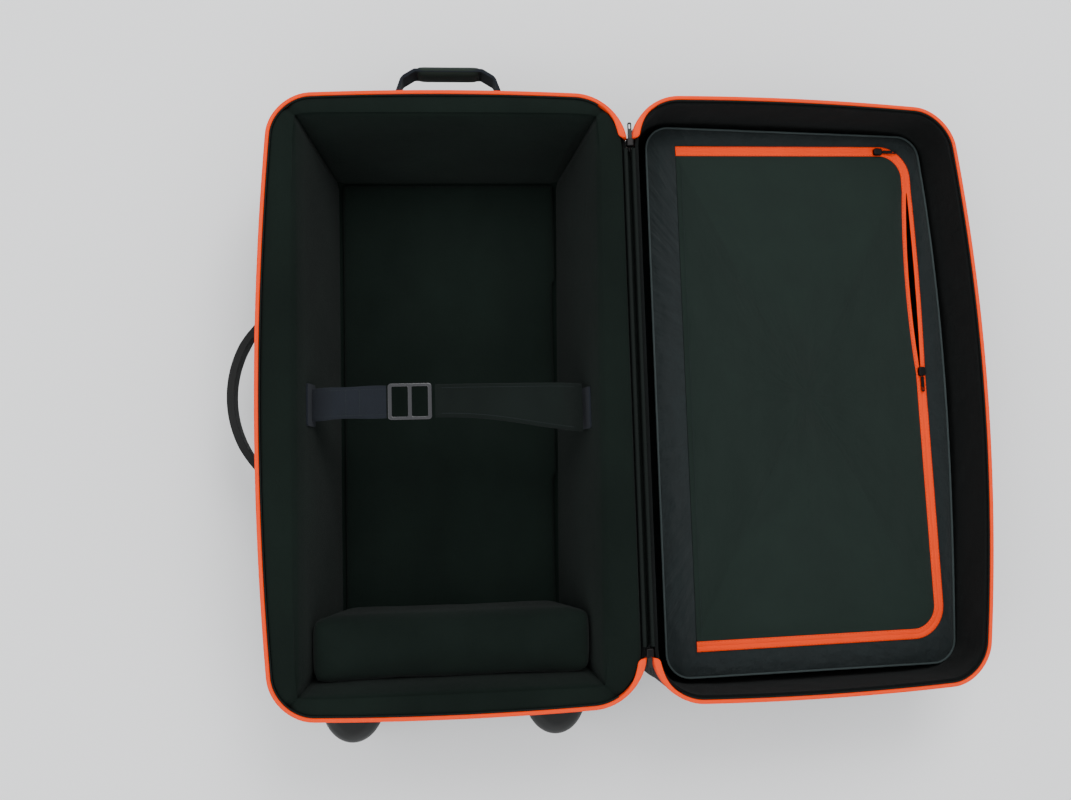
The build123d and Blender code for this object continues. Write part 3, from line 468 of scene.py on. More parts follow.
# %% [markdown]
# ## Hard finishes
#
# Moulded plastic has a fine spark-eroded grain and is polished a little where hands and floors rub
# it. Metals carry faint brushing along one direction. Rubber is matt, with dusty patches.

# %% Hard finishes
def moulded(name, colour, roughness=0.5, grain=0.00008, coat=0.0, specular=0.5):
    """Grained plastic: fine noise for the grain and broad noise for the rubbed patches."""
    finish = Finish(name, roughness=roughness, coat=coat, specular=specular)
    rubbed = finish.noise(14, 4)
    finish.set("Base Color", finish.blend(rubbed, shade(colour, 0.75), shade(colour, 1.3)))
    finish.set("Roughness", rubbed * 0.22 + (roughness - 0.11))
    finish.bump(finish.noise(1300, 2), grain)
    return finish.material


def brushed(name, colour, roughness=0.35, stretch=(1, 0.03, 1)):
    """Brushed metal: noise drawn out along the brushing."""
    finish = Finish(name, roughness=roughness, metallic=1.0)
    lines = finish.noise(900, 2, stretch)
    finish.set("Base Color", finish.blend(lines, shade(colour, 0.8), shade(colour, 1.15)))
    finish.set("Roughness", lines * 0.2 + (roughness - 0.1))
    finish.bump(lines, 0.00003)
    return finish.material


print("kinds of hard finish: moulded, brushed")

# %% [markdown]
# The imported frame's hard nodes are shown as they are, and each is given the finish of what it is made
# of. The floor board and the strap's anchors are cloth on their faces, so they get cloth finishes.

# %% The frame's own parts
moulded_black = moulded("moulded_black", rgba(0.0065, 0.0072, 0.0068), roughness=0.5, specular=0.3)
polished_black = moulded("polished_black", rgba(0.010, 0.010, 0.012), roughness=0.2, grain=0.00002, coat=0.5)
rubber_black = moulded("rubber_black", rgba(0.0055, 0.0058, 0.0056), roughness=0.65, grain=0.0002,
                       specular=0.25)
tread = moulded("tread", rgba(0.020, 0.020, 0.020), roughness=0.75, grain=0.0002)
hub_grey = moulded("hub_grey", rgba(0.10, 0.10, 0.105), roughness=0.45)
tube_alloy = brushed("tube_alloy", rgba(0.62, 0.63, 0.65))
steel = brushed("steel", rgba(0.50, 0.50, 0.52), stretch=(1, 1, 0.1))
dark_metal = brushed("dark_metal", rgba(0.016, 0.015, 0.015), roughness=0.42)

node_finishes = {
    moulded_black: ["side_handle_mounts", "top_handle_mounts", "tube_brackets", "handle_bezel",
                    "handle_button", "wheel_housing_left", "wheel_housing_right", "main_pull_top",
                    "main_pull_bottom"],
    velour_dark: ["floor_board"],
    webbing_cloth: ["strap_anchor_left", "strap_anchor_right"],
    rubber_black: ["handle_grip"],
    steel: ["mount_screws", "wheel_axle_left", "wheel_axle_right", "wheel_bearings_left",
            "wheel_bearings_right"],
    tube_alloy: ["outer_tube_left", "outer_tube_right", "inner_tube_left", "inner_tube_right"],
    hub_grey: ["wheel_hub_left", "wheel_hub_right"],
    tread: ["wheel_tyre_left", "wheel_tyre_right"],
    dark_metal: ["main_slider_top", "main_slider_bottom", "pouch_slider_side", "pouch_slider_top",
                 "pouch_pull_side", "pouch_pull_top"],
}
for finish, names in node_finishes.items():
    for name in names:
        nodes[name].data.materials.clear()
        nodes[name].data.materials.append(finish)
print("finishes given to", sum(len(names) for names in node_finishes.values()), "nodes")

# %% [markdown]
# ## The rims
#
# Both halves share one outline: a rounded rectangle whose sides are then bowed, most of all the side
# away from the hinge. Points are spread evenly along it, starting at the middle of the hinge side.

# %% The rim's outline
def rounded_corner(centre, radius, first, last, count=24):
    """Points on a circle about the centre, from the first angle to the last, in degrees."""
    angle = np.radians(np.linspace(first, last, count))
    return np.stack([centre[0] + radius * np.cos(angle), centre[1] + radius * np.sin(angle)], -1)


def rim(side, inset, count=480):
    """The bowed outline: u gains bow * (1 - (v / half)^2) towards the far side, and v gains the
    end bow likewise."""
    near, far, half = GAP + inset, GAP + WIDTH - inset, LENGTH / 2 - inset
    a, b = HINGE_CORNER - inset, OUTER_CORNER - inset
    line = np.concatenate([
        [[near, 0]], rounded_corner((near + a, half - a), a, 180, 90),
        rounded_corner((far - b, half - b), b, 90, 0), rounded_corner((far - b, b - half), b, 0, -90),
        rounded_corner((near + a, a - half), a, -90, -180), [[near, 0]]])
    line = spread_evenly(line, count + 1)[:-1]
    u, v = line.T
    across = (u - near) / (far - near)
    bowed_u = u + BOW[side] * (1 - (v / half) ** 2) * across**4
    bowed_v = v + np.sign(v) * END_BOW * (1 - (2 * across - 1) ** 2) * (np.abs(v) / half) ** 4
    return np.stack([bowed_u, bowed_v], -1)


def outward(line, closed=True):
    """Unit normals on the left of the line's direction, which is outwards here."""
    if closed:
        step = np.roll(line, -1, axis=0) - np.roll(line, 1, axis=0)
    else:
        step = np.gradient(line, axis=0)
    return unit(np.stack([-step[:, 1], step[:, 0]], -1))


def laid(side, line, w):
    """Points (u, v) of a half's rim plane, put in the frame at height w."""
    return place(side, line[..., 0], line[..., 1], w)


def carried(side, line, normal, out, w):
    """Carries a profile along a line on a rim plane: the point at each step goes outwards by `out`
    and up by `w`, and both may change along the line."""
    return laid(side, line[:, None, :] + normal[:, None, :] * out[..., None], w)


MIDDLE = np.array([GAP + WIDTH / 2, 0])
print("rim lengths:", {half: round(distance_along(rim(half, 0.0))[-1], 3) for half in BOW}, "m")

# %% [markdown]
# ## The two shells
#
# Each shell is one profile carried round the rim: down the outside, which leans in a little towards
# the back, round the back edge, in to the middle of the back, then the same inside.

# %% Shells
def tub_rows(side, inset, depth, radius, top=0.0098):
    """Rows from the rim to the middle of the back: the wall leans in by LEAN times its depth, a
    quarter circle rounds the edge, and the back shrinks to its middle."""
    levels = [(inset + down * LEAN, down) for down in np.linspace(top, depth - radius, 14)]
    levels += [(inset + (depth - radius) * LEAN + radius * (1 - cos(turn)),
                depth - radius + radius * sin(turn)) for turn in np.radians(np.linspace(0, 90, 9))[1:]]
    rings = [(rim(side, level_inset), down) for level_inset, down in levels]
    last = rings[-1][0]
    rings += [(MIDDLE + (last - MIDDLE) * share, depth) for share in (0.93, 0.8, 0.6, 0.4, 0.2, 0.0)]
    return np.array([laid(side, line, -down) for line, down in rings])


for side in ("body", "lid"):
    outside = tub_rows(side, 0.0, DEPTH[side], BACK_EDGE)
    inside = tub_rows(side, SHELL, DEPTH[side] - SHELL, BACK_EDGE - SHELL)
    surface(f"{side}_shell_cloth", np.concatenate([outside[::-1], inside]), shell_cloth, side,
            [f"{side}_shell"])
tell("shells")

# %% [markdown]
# ## Zip tapes, coils and the cloth hinge
#
# The bright tape shows as a narrow rounded edge on both rims, with a row of stitches below it.
# Towards the hinge it turns to face upwards, so it widens there, and its end is cut round. It is one
# closed profile carried along the zip, whose inset changes near both ends.

# %% Zip tape
TAPE_END, HINGE_SIDE = 0.306, 0.02
TAPE_WIDTH, WIDENING, TIP = 0.0047, 0.05, 0.009
STITCH_LINE = 0.0135


def zip_line(side, inset=0.0):
    """The part of the rim that the zip covers, in order, and its outward normals: all of it but
    the straight run along the hinge."""
    line = rim(side, inset, 900)
    covered = (line[:, 0] > HINGE_SIDE) | (np.abs(line[:, 1]) > TAPE_END)
    return line[covered], outward(line)[covered]


def rounded_profile(low_a, high_a, low_b, high_b, radius, count=4):
    """A rectangle with rounded corners as a closed loop of (a, b) points."""
    corners = [(high_a - radius, high_b - radius, 0), (low_a + radius, high_b - radius, 90),
               (low_a + radius, low_b + radius, 180), (high_a - radius, low_b + radius, 270)]
    return np.concatenate([rounded_corner((a, b), radius, start, start + 90, count)
                           for a, b, start in corners])


def to_ends(line):
    """How far each point of a line is from the nearer of its ends."""
    reach = distance_along(line)
    return np.minimum(reach, reach[-1] - reach)


def tape_grid(side):
    """The tape. Its inset times `widen` doubles its top near the ends, and `tip`, the height of a
    circle, rounds them off."""
    line, normal = zip_line(side)
    to_end = to_ends(line)
    widen = 1 + (1 - smoothstep(to_end / WIDENING))
    tip = np.sqrt(np.clip(1 - (1 - np.clip(to_end / TIP, 0, 1)) ** 2, 0.01, 1))
    profile = rounded_profile(-0.0002, TAPE_WIDTH, -0.0097, -0.0004, 0.0016)
    share = np.clip(profile[:, 0] / TAPE_WIDTH, 0, 1)
    top = smoothstep((profile[:, 1] + 0.006) / 0.004)
    inset = (profile[None, :, 0] * tip[:, None]
             + share[None] * top[None] * (widen[:, None] - 1) * TAPE_WIDTH * tip[:, None])
    return capped(carried(side, line, normal, -inset, profile[:, 1]))


print("zip along the body:", round(distance_along(zip_line("body")[0])[-1], 3), "m")

# %% [markdown]
# The coil is a dark bead just inside the tape, which stops before the ends. On the hinge side there is
# no zip, and a narrow folded binding covers the raw edge of each shell instead.

# %% Coil and binding
def coil_grid(side):
    """The coil's bead, carried along the part of the zip that lies away from its ends."""
    line, normal = zip_line(side)
    inner = to_ends(line) > 0.055
    bead = rounded_profile(TAPE_WIDTH, TAPE_WIDTH + 0.0021, -0.0033, -0.0012, 0.0008)
    return capped(carried(side, line[inner], normal[inner], -bead[:, 0], bead[:, 1]))


def binding_grid(side):
    """The folded binding, carried straight along the hinge side."""
    v = np.linspace(-0.295, 0.295, 120)
    edge = rounded_profile(0.0002, 0.0045, -0.0097, -0.0006, 0.0018)
    return capped(place(side, GAP + edge[:, 0], v[:, None], edge[:, 1]))


for side in ("body", "lid"):
    for name, grid, finish, slot, node in (
            ("zip_tape_cloth", tape_grid, zip_orange, "zip_orange", "zip_tape"),
            ("zip_coil_bead", coil_grid, binding_cloth, "zip_teeth", "zip_coil"),
            ("hinge_edge", binding_grid, binding_cloth, "edge_binding", "hinge_binding")):
        surface(f"{side}_{name}", grid(side), finish, side, [f"{side}_{node}"])
tell("round the rims")

# %% [markdown]
# A thin welt is sewn round each shell, close to its back edge, where the side cloth meets the back.
# One row of stitches runs along it and one below the zip.

# %% Welts and stitching
def facing(side, normal):
    """Outward directions on the rim plane, turned into the frame."""
    return laid(side, normal, 0.0) - place(side, 0.0, 0.0, 0.0)


for side, down in (("body", 0.160), ("lid", 0.118)):
    line = rim(side, down * LEAN, 700)
    angle = np.linspace(0, 2 * pi, 10, endpoint=False)
    surface(f"{side}_welt", carried(side, line, outward(line), -0.0013 * np.cos(angle),
                                    -down + 0.0013 * np.sin(angle)),
            welt_cloth, side, along=True)
    for label, depth in (("zip", STITCH_LINE), ("welt", down - 0.004)):
        line, normal = zip_line(side, depth * LEAN - 0.0001)
        seam(f"{side}_{label}_stitches", laid(side, line, -depth), facing(side, normal), thread_dark,
             side, pitch=0.0055, length=0.0036, thick=0.0006)
tell("sewn edges")

# %% [markdown]
# The hinge itself is one strip of cloth, sewn below both rims. It hangs in a shallow fold between
# them when the case is open and lies flat across the back of the closed case. Here it is drawn in
# the open fold, as one fixed piece that rides on neither body.

# %% Cloth hinge
FOLD_REACH = 0.0026
v = np.linspace(-0.294, 0.294, 90)
turn = np.linspace(0, pi, 15)
fold_x = HINGE[0] - FOLD_REACH * np.cos(turn)
fold_z = HINGE[2] - 0.0105 - 0.0035 * np.sin(turn)
loop_x = np.concatenate([fold_x, fold_x[::-1]])
loop_z = np.concatenate([fold_z + 0.0006, fold_z[::-1] - 0.0006])
strip = np.stack(np.broadcast_arrays(loop_x, v[:, None], loop_z), -1)
hinge_cloth = surface("hinge_cloth", capped(strip), binding_cloth, None, ["hinge_spine"])
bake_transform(hinge_cloth)
tell("hinge")

# %% [markdown]
# ## The foam walls
#
# Four thick foam walls in velour meet at mitres in the corners. Each is a grid of rays that fan from
# the hollow's edge to the shell: along a ray the cover goes up the outside, over a crowned top and
# down the sloping inner face. Near a mitre the cover is drawn in, which leaves the soft fold.

# %% Rays to a line
def ray_to_line(start, heading, line):
    """Distance along each ray, in headings, to the closed line it meets."""
    a, b = line, np.roll(line, -1, axis=0)
    edge = b - a
    gap = a[None] - start[:, None]
    cross = heading[:, None, 0] * edge[None, :, 1] - heading[:, None, 1] * edge[None, :, 0]
    cross = np.where(np.abs(cross) < 1e-12, 1e-12, cross)
    reach = (gap[..., 0] * edge[None, :, 1] - gap[..., 1] * edge[None, :, 0]) / cross
    share = (gap[..., 0] * heading[:, None, 1] - gap[..., 1] * heading[:, None, 0]) / cross
    hit = (reach > 0) & (share >= 0) & (share <= 1)
    return np.where(hit, reach, np.inf).min(axis=1)


shell_line = rim("body", SHELL + 0.0008)
shell_line = np.stack([HINGE[0] - shell_line[:, 0], shell_line[:, 1]], -1)
print("from the middle of the hollow to the shell along X:",
      ray_to_line(np.zeros((1, 2)), np.array([[1.0, 0.0]]), shell_line).round(3)[0], "m")

# %% [markdown]
# The hollow's mouth has four corners, and the mitres run from them along the diagonals. A wall's
# grid has a row for every ray from one mitre to the next, and a column for every step of the cover:
# `offsets` are measured outwards along the ray and `levels` upwards.

# %% Foam walls
SLOPE = tan(radians(12))
SIDES = {"foam_top": 0, "foam_hinge_side": 1, "foam_bottom": 2, "foam_outer_side": 3}
mouth = np.array([[-0.181, 0.335], [0.1745, 0.335], [0.1605, -0.334], [-0.181, -0.334]])
diagonals = np.array([[-1, 1], [1, 1], [1, -1], [-1, -1]], dtype=float)
BOARD_FOOT = 0.0305
BOARD_TOP = 0.1853

for name, index in SIDES.items():
    s = 0.5 - 0.5 * np.cos(np.linspace(0, pi, 110))
    here, there = mouth[index], mouth[(index + 1) % 4]
    fan = diagonals[index] * (1 - s[:, None]) + diagonals[(index + 1) % 4] * s[:, None]
    edge = here * (1 - s[:, None]) + there * s[:, None]
    reach = ray_to_line(edge, fan, shell_line)
    length = np.linalg.norm(there - here)
    to_mitre = np.minimum(s, 1 - s) * length
    drawn = 1 - smoothstep(to_mitre / 0.012)
    wave = ripple(s * length, np.zeros_like(s), 11 + index, 0.24)
    offsets, levels = [], []
    for height in np.linspace(BOARD_FOOT, BOARD_TOP - 0.006, 6):
        offsets.append(reach - 1.1 * LEAN * (HINGE[2] - height))  # up the outside
        levels.append(np.full_like(s, height))
    offsets.append(reach - 0.0015)
    levels.append(BOARD_TOP - 0.002 - 0.001 * drawn)
    for q in np.linspace(0.94, 0.16, 12):
        offsets.append(reach * q)  # over the crowned top
        levels.append(BOARD_TOP + 0.0028 * sin(pi * q) ** 0.6 - 0.0035 * drawn + 0.0004 * wave)
    for angle in np.radians([75, 55, 35, 15]):
        # round the inner edge
        offsets.append(np.full_like(s, 0.007 * (1 - cos(angle)) - 0.0004) + 0.0014 * drawn)
        levels.append(BOARD_TOP - 0.0075 + 0.008 * sin(angle) - 0.003 * drawn)
    for height in np.linspace(BOARD_TOP - 0.012, BOARD_FOOT, 16):
        # down the inner face
        swell = 0.0028 * sin(pi * (height - BOARD_FOOT) / (BOARD_TOP - BOARD_FOOT)) * (1 + 0.6 * wave)
        offsets.append(-SLOPE * (HINGE[2] - 0.004 - height) - swell * (1 - drawn) + 0.0022 * drawn)
        levels.append(np.full_like(s, height))
    offsets, levels = np.array(offsets).T, np.array(levels).T
    shrink = 0.0002 * (1 - 2 * s)[:, None, None] * (there - here) / length
    spots = edge[:, None, :] + fan[:, None, :] * offsets[:, :, None] + shrink
    board = np.concatenate([spots, levels[:, :, None]], axis=2)
    wall = surface(f"{name}_cover", capped(board), velour_dark, "body", [name], crease=60)
tell("foam walls")

# %% [markdown]
# ## The loose block and the floor pad
#
# A cut foam block has flat faces that its cover rounds and puffs slightly. Its cover is made as cloth
# is: the block's own solid is remeshed, blown up a little with the cloth solver, and held within a
# few millimetres of where it started.

# %% Cloth covers
STEPS = 20


def puffed(node, name, finish, body, voxel=0.006, most=0.004, start_scale=0.995):
    """A cover blown up by the cloth solver from a node's shape. Each point moves by its push, cut
    short at `most`."""
    mesh = nodes[node].data.copy()
    mesh.name = name
    merge(mesh, distance=1e-5)
    cover = piece(name, mesh, finish, body, [node])
    bpy.context.view_layer.objects.active = cover
    remesh = cover.modifiers.new("even", "REMESH")
    remesh.mode, remesh.voxel_size = "VOXEL", voxel
    bpy.context.view_layer.update()
    even = bpy.data.meshes.new_from_object(cover.evaluated_get(bpy.context.evaluated_depsgraph_get()))
    cover.modifiers.clear()
    start = np.empty(len(even.vertices) * 3, dtype=np.float32)
    even.vertices.foreach_get("co", start)
    start = start.reshape(-1, 3)
    middle = (start.min(0) + start.max(0)) / 2
    start = middle + (start - middle) * start_scale
    even.vertices.foreach_set("co", start.reshape(-1))
    even.materials.clear()
    even.materials.append(finish)
    cover.data = even
    cloth = cover.modifiers.new("cloth", "CLOTH")
    cloth.settings.use_pressure = True
    cloth.settings.uniform_pressure_force = 3.0
    cloth.settings.effector_weights.gravity = 0
    cloth.settings.tension_stiffness = cloth.settings.compression_stiffness = 30
    cloth.point_cache.frame_start, cloth.point_cache.frame_end = 1, STEPS
    for step in range(1, STEPS + 1):
        bpy.context.scene.frame_set(step)
    moved = cover.evaluated_get(bpy.context.evaluated_depsgraph_get()).data
    end = np.empty_like(start.reshape(-1))
    moved.vertices.foreach_get("co", end)
    push = end.reshape(-1, 3) - start
    size = np.linalg.norm(push, axis=1, keepdims=True)
    end = start + push * np.minimum(1, most / np.maximum(size, 1e-9))
    cover.modifiers.clear()
    bpy.context.scene.frame_set(1)
    even.vertices.foreach_set("co", end.astype(np.float32).reshape(-1))
    merge(even, crease=180)
    smooth = cover.modifiers.new("smooth", "CORRECTIVE_SMOOTH")
    smooth.factor, smooth.iterations, smooth.use_only_smooth = 0.5, 4, True
    return cover


block = puffed("foam_block", "foam_block_cover", velour_dark, "loose_block")
pad = puffed("floor_pad", "floor_pad_cover", velour_dark, "body", most=0.0006)
tell("covers")

# %% [markdown]
# ## Straps and the buckle
#
# What lies in the case is held down by a strap across the hollow. Its left part is flat webbing,
# which leaves the wall, rises and runs level to the buckle. Its right part is a padded pile strap that
# widens into the wall. Each is a rounded flat section swept along its centre line.

# %% Strap sections
def flat_sweep(centre, width, thickness, sway, count=20):
    """Carries a rounded flat section along a centre line in x and z; width and thickness follow the
    line, and sway gives the middle's y."""
    tangent = unit(np.gradient(centre, axis=0))
    up = np.stack([-tangent[:, 1], tangent[:, 0]], -1)
    up = up * np.sign(up[:, 1:2] + 1e-9)
    angle = np.linspace(0, 2 * pi, count, endpoint=False)
    flat = np.sign(np.cos(angle)) * np.abs(np.cos(angle)) ** 0.25
    tall = np.sign(np.sin(angle)) * np.abs(np.sin(angle)) ** 0.6
    y = sway[:, None] + width[:, None] / 2 * flat[None, :]
    rise = thickness[:, None] / 2 * tall[None, :]
    x = centre[:, None, 0] + up[:, None, 0] * rise
    z = centre[:, None, 1] + up[:, None, 1] * rise
    return np.stack([x, y, z], -1)


def eased(points, count):
    """A smooth line through a few points: straight pieces, spread evenly and averaged."""
    line = spread_evenly(np.array(points, dtype=float), count)
    for _ in range(12):
        line[1:-1] = (line[:-2] + 2 * line[1:-1] + line[2:]) / 4
    return line


UPWARDS = np.array([0, 0, 1])
print("an eased corner:", eased([[0, 0], [1, 0], [1, 1]], 5).round(2).tolist())

# %% [markdown]
# The webbing is one strip, with a row of stitching along each edge. On a real strap its end goes round
# the buckle's bar and back, held by two cross rows of stitches. Here the strip ends at the buckle, and
# only the cross rows show that fold.

# %% Webbing strap
STRAP_MIDDLE, WEBBING_WIDTH = -0.005, 0.038
left_line = eased([[-0.1735, 0.146], [-0.164, 0.1535], [-0.144, 0.167], [-0.120, 0.1705],
                   [-0.081, 0.1722]], 90)
count = len(left_line)
width = np.full(count, WEBBING_WIDTH) + 0.001 * np.sin(np.linspace(0, 9, count))
webbing = flat_sweep(left_line, width, np.full(count, 0.0021), np.full(count, STRAP_MIDDLE))
surface("webbing_strap", capped(webbing), webbing_cloth, "strap_buckle_end", ["strap_left"])
for sign, label in ((1, "upper"), (-1, "lower")):
    x, z = left_line[8:].T
    row = np.stack([x, np.full_like(x, STRAP_MIDDLE + sign * 0.0150), z + 0.0011], -1)
    seam(f"webbing_stitches_{label}", row, UPWARDS, thread_dark, "strap_buckle_end")
for tack_x in (-0.128, -0.112):
    y = np.linspace(-0.0215, 0.0115, 40)
    z = np.interp(tack_x, left_line[:, 0], left_line[:, 1]) + 0.0012
    row = np.stack(np.broadcast_arrays(tack_x, y, z), -1)
    seam(f"webbing_tack_{int(-tack_x * 1000)}", row, UPWARDS, thread_dark, "strap_buckle_end")
tell("webbing")

# %% [markdown]
# The padded strap narrows at the buckle and widens to the wall. It is stuffed, so its middle is
# crowned, and it is stitched down close to each edge.

# %% Padded strap
right_line = eased([[-0.0243, 0.1735], [0.010, 0.1743], [0.070, 0.1722], [0.124, 0.1685],
                    [0.1505, 0.1535]], 100)
count = len(right_line)
grow = smoothstep((right_line[:, 0] + 0.028) / 0.19) ** 1.4
low, high = -0.0245 - 0.0195 * grow, np.full(count, 0.0145)
thick = 0.0046 + 0.0012 * np.sin(np.linspace(0, pi, count))
band = flat_sweep(right_line, high - low, thick, (high + low) / 2, count=28)
padded_strap = surface("padded_strap", capped(band), pile_strap, "strap_pad_end",
                       ["strap_right"])
for edge_line, label in ((low + 0.0045, "lower"), (high - 0.0045, "upper")):
    row = np.stack([right_line[:, 0], edge_line, right_line[:, 1] + thick / 2 + 0.0001], -1)[4:-6]
    seam(f"pad_stitches_{label}", row, UPWARDS, thread_dark, "strap_pad_end")
tell("padded strap")

# %% [markdown]
# The buckle is a glossy frame with two slots. A bevel rounds every edge, so each bar catches a line
# of light.

# %% Buckle
def softened(node, name, finish, body, width, segments=3):
    """A merged copy of a node with rounded edges."""
    mesh = nodes[node].data.copy()
    mesh.name = name
    merge(mesh, crease=30, distance=1e-5)
    soft = piece(name, mesh, finish, body, [node])
    work = bmesh.new()
    work.from_mesh(mesh)
    bmesh.ops.dissolve_limit(work, angle_limit=radians(1), verts=work.verts, edges=work.edges)
    work.to_mesh(mesh)
    work.free()
    bevel = soft.modifiers.new("round", "BEVEL")
    bevel.width, bevel.segments = width, segments
    bevel.limit_method, bevel.angle_limit = "ANGLE", radians(35)
    return soft


softened("strap_buckle", "buckle_frame", polished_black, "strap_buckle_end", 0.0015)
tell("buckle")

# %% [markdown]
# ## The lid's lining
#
# The lining is one tub of thin cloth, carried round the lid as the shells are. It is glued along the
# walls, so only a few shallow creases run over them, and broader ones over its floor.

# %% Lid lining
LINING_INSET, LINING_FLOOR, LINING_TOP = 0.0093, 0.1401, 0.0045
CORNER, CORNER_START = 0.015, 0.1195 * LEAN


def lining_corner(inset, floor, turns):
    """The quarter circle from the wall to the floor: rings drawn in by 1 - cos and lowered by sin."""
    return [(rim("lid", inset + CORNER_START + CORNER * (1 - cos(turn))), floor - CORNER + CORNER * sin(turn))
            for turn in np.radians(turns)]


inner_rows = []
wall_rings = [(rim("lid", LINING_INSET + (down - LINING_TOP) * LEAN), down)
              for down in np.linspace(0.0046, 0.1240, 16)]
for line, down in wall_rings + lining_corner(LINING_INSET, LINING_FLOOR, np.linspace(0, 90, 9)[1:]):
    travel = np.linspace(0, 2.2, len(line), endpoint=False)
    push = (0.0009 * ripple(np.abs(travel - 1.1), np.full(len(line), down), 21, 0.13)
            * smoothstep((down - 0.01) / 0.02))
    inner_rows.append(laid("lid", line + outward(line) * push[:, None], -down))
last = line
for share in np.linspace(0.96, 0, 26):
    flat = MIDDLE + (last - MIDDLE) * share
    crease = 0.0010 * ripple(flat[:, 0], flat[:, 1], 5, 0.30) * smoothstep((1 - share) / 0.15)
    inner_rows.append(laid("lid", flat, -LINING_FLOOR + 0.0008 + crease))
outer_inset = LINING_INSET - 0.0040
outer_rings = [(rim("lid", outer_inset + (down - LINING_TOP) * LEAN), down)
               for down in (0.0046, 0.05, 0.1240)]
outer_rings += lining_corner(outer_inset, LINING_FLOOR + 0.0035, [30, 60, 90])
last = outer_rings[-1][0]
outer_rings += [(MIDDLE + (last - MIDDLE) * share, LINING_FLOOR + 0.0035) for share in (0.6, 0.0)]
outer_rows = [laid("lid", line, -down) for line, down in outer_rings[::-1]]
lining = surface("lid_lining_cloth", np.array(outer_rows + inner_rows), lining_cloth, "lid",
                 ["lid_lining"])
tell("lining")

# %% [markdown]
# ## The pouch
#
# A pouch fills the lid: a border of pleated nylon stands on a gusset, and a big flap closes the
# middle with an orange zip on three sides. The pouch's outline, the seam that the zip follows and the
# flap are all rounded outlines on the lid's rim plane.

# %% Pouch outlines
OVERHANG = 0.0065  # the border stands out past the gusset


def pouch_outline(inset, count=480):
    """The pouch's outline: straight towards the hinge, and bowed on the far side."""
    near, half, radius = 0.042 + inset, 0.337 - inset, 0.030
    v = np.linspace(half - radius, -(half - radius), 120)
    far = 0.423 - (0.0165 + 0.0035 * v / half) * (v / half) ** 2 - inset
    top_far, bottom_far = far[0], far[-1]
    line = np.concatenate([
        [[near, 0]], rounded_corner((near + radius, half - radius), radius, 180, 90),
        rounded_corner((top_far - radius, half - radius), radius, 90, 0)[:-1],
        np.stack([far, v], -1), rounded_corner((bottom_far - radius, radius - half), radius, 0, -90)[1:],
        rounded_corner((near + radius, radius - half), radius, -90, -180), [[near, 0]]])
    return spread_evenly(line, count + 1)[:-1]


def seam_line(radius=0.036, count=900):
    """The closed zip's middle: from the hinge side along the top, down the far side and back."""
    top_near, top_far = np.array([0.075, 0.312]), np.array([0.391, 0.321])
    low_far, low_near = np.array([0.398, -0.305]), np.array([0.075, -0.306])
    top_corner = rounded_corner(top_far - [radius, radius], radius, 88.4, 0.0, 30)
    low_corner = rounded_corner(low_far + [-radius, radius], radius, 0.0, -90.2, 30)
    return spread_evenly(np.concatenate([[top_near], top_corner, low_corner, [low_near]]), count)


seam_mid = seam_line()
seam_out = outward(seam_mid, closed=False)
seam_reach = distance_along(seam_mid)
print("zip seam", round(seam_reach[-1], 3), "m long")

# %% [markdown]
# The slider on the far side stands part of the way along, and the zip is open above it. There the
# two tapes stand apart as a long narrow lens: the flap's edge is drawn in, and the border's edge
# bulges a little.

# %% Zip opening
OPEN_FROM, OPEN_LENGTH = 0.028, 0.238
OPEN_TO = OPEN_FROM + OPEN_LENGTH
seam_u, seam_v = seam_mid.T
opened = (seam_v > OPEN_FROM) & (seam_v < OPEN_TO) & (seam_u > 0.385)
lens = np.where(opened, np.sin(np.clip((seam_v - OPEN_FROM) / OPEN_LENGTH, 0, 1) * pi) ** 0.8, 0)
open_in, open_out = 0.0052 * lens, 0.0020 * lens
print("zip opening", OPEN_LENGTH, "m long and", round(1000 * (open_in + open_out).max(), 1), "mm wide")

# %% [markdown]
# ## Border, piping and gusset
#
# The border is cloth that is a little too long for its place, so fine pleats run across it from the
# piped outer seam. They fade towards the zip, whose tape holds the cloth flat.

# %% Border edges
border_count = 1400
outer_edge = pouch_outline(0.0010 - OVERHANG, border_count)
closed_seam = np.concatenate([seam_mid + seam_out * (0.0066 + open_out)[:, None],
                              np.linspace([0.0748, -0.3126], [0.0748, 0.3186], 300)[1:-1]])
POUCH_CENTRE = np.array([0.235, 0.0])


def around_centre(points, line):
    """The points where rays from the pouch's centre through `points` meet a closed line."""
    heading = unit(points - POUCH_CENTRE)
    reach = ray_to_line(np.broadcast_to(POUCH_CENTRE, points.shape), heading, line)
    return POUCH_CENTRE + heading * reach[:, None]


inner_edge = around_centre(outer_edge, closed_seam)
travel = distance_along(outer_edge)
border_width = np.linalg.norm(outer_edge - inner_edge, axis=1)
print("border:", round(border_width.min(), 3), "to", round(border_width.max(), 3), "m wide along the rays")

# %% [markdown]
# The border's height is pleats times a fade, plus a slow drift and a crown, and the edge bends down
# to the piping. The pleats are three ripples along the edge: one of 33 mm, a finer and a broader one.

# %% Pouch border
still = np.zeros_like(travel)
pleat = (0.5 * ripple(travel, still, 31, 0.033) + 0.35 * ripple(travel, still, 33, 0.012)
         + 0.5 * ripple(travel, still, 35, 0.110))


def between_edges(share):
    """The line that lies the given share of the way from the border's outer edge to its inner."""
    return outer_edge * (1 - share) + inner_edge * share


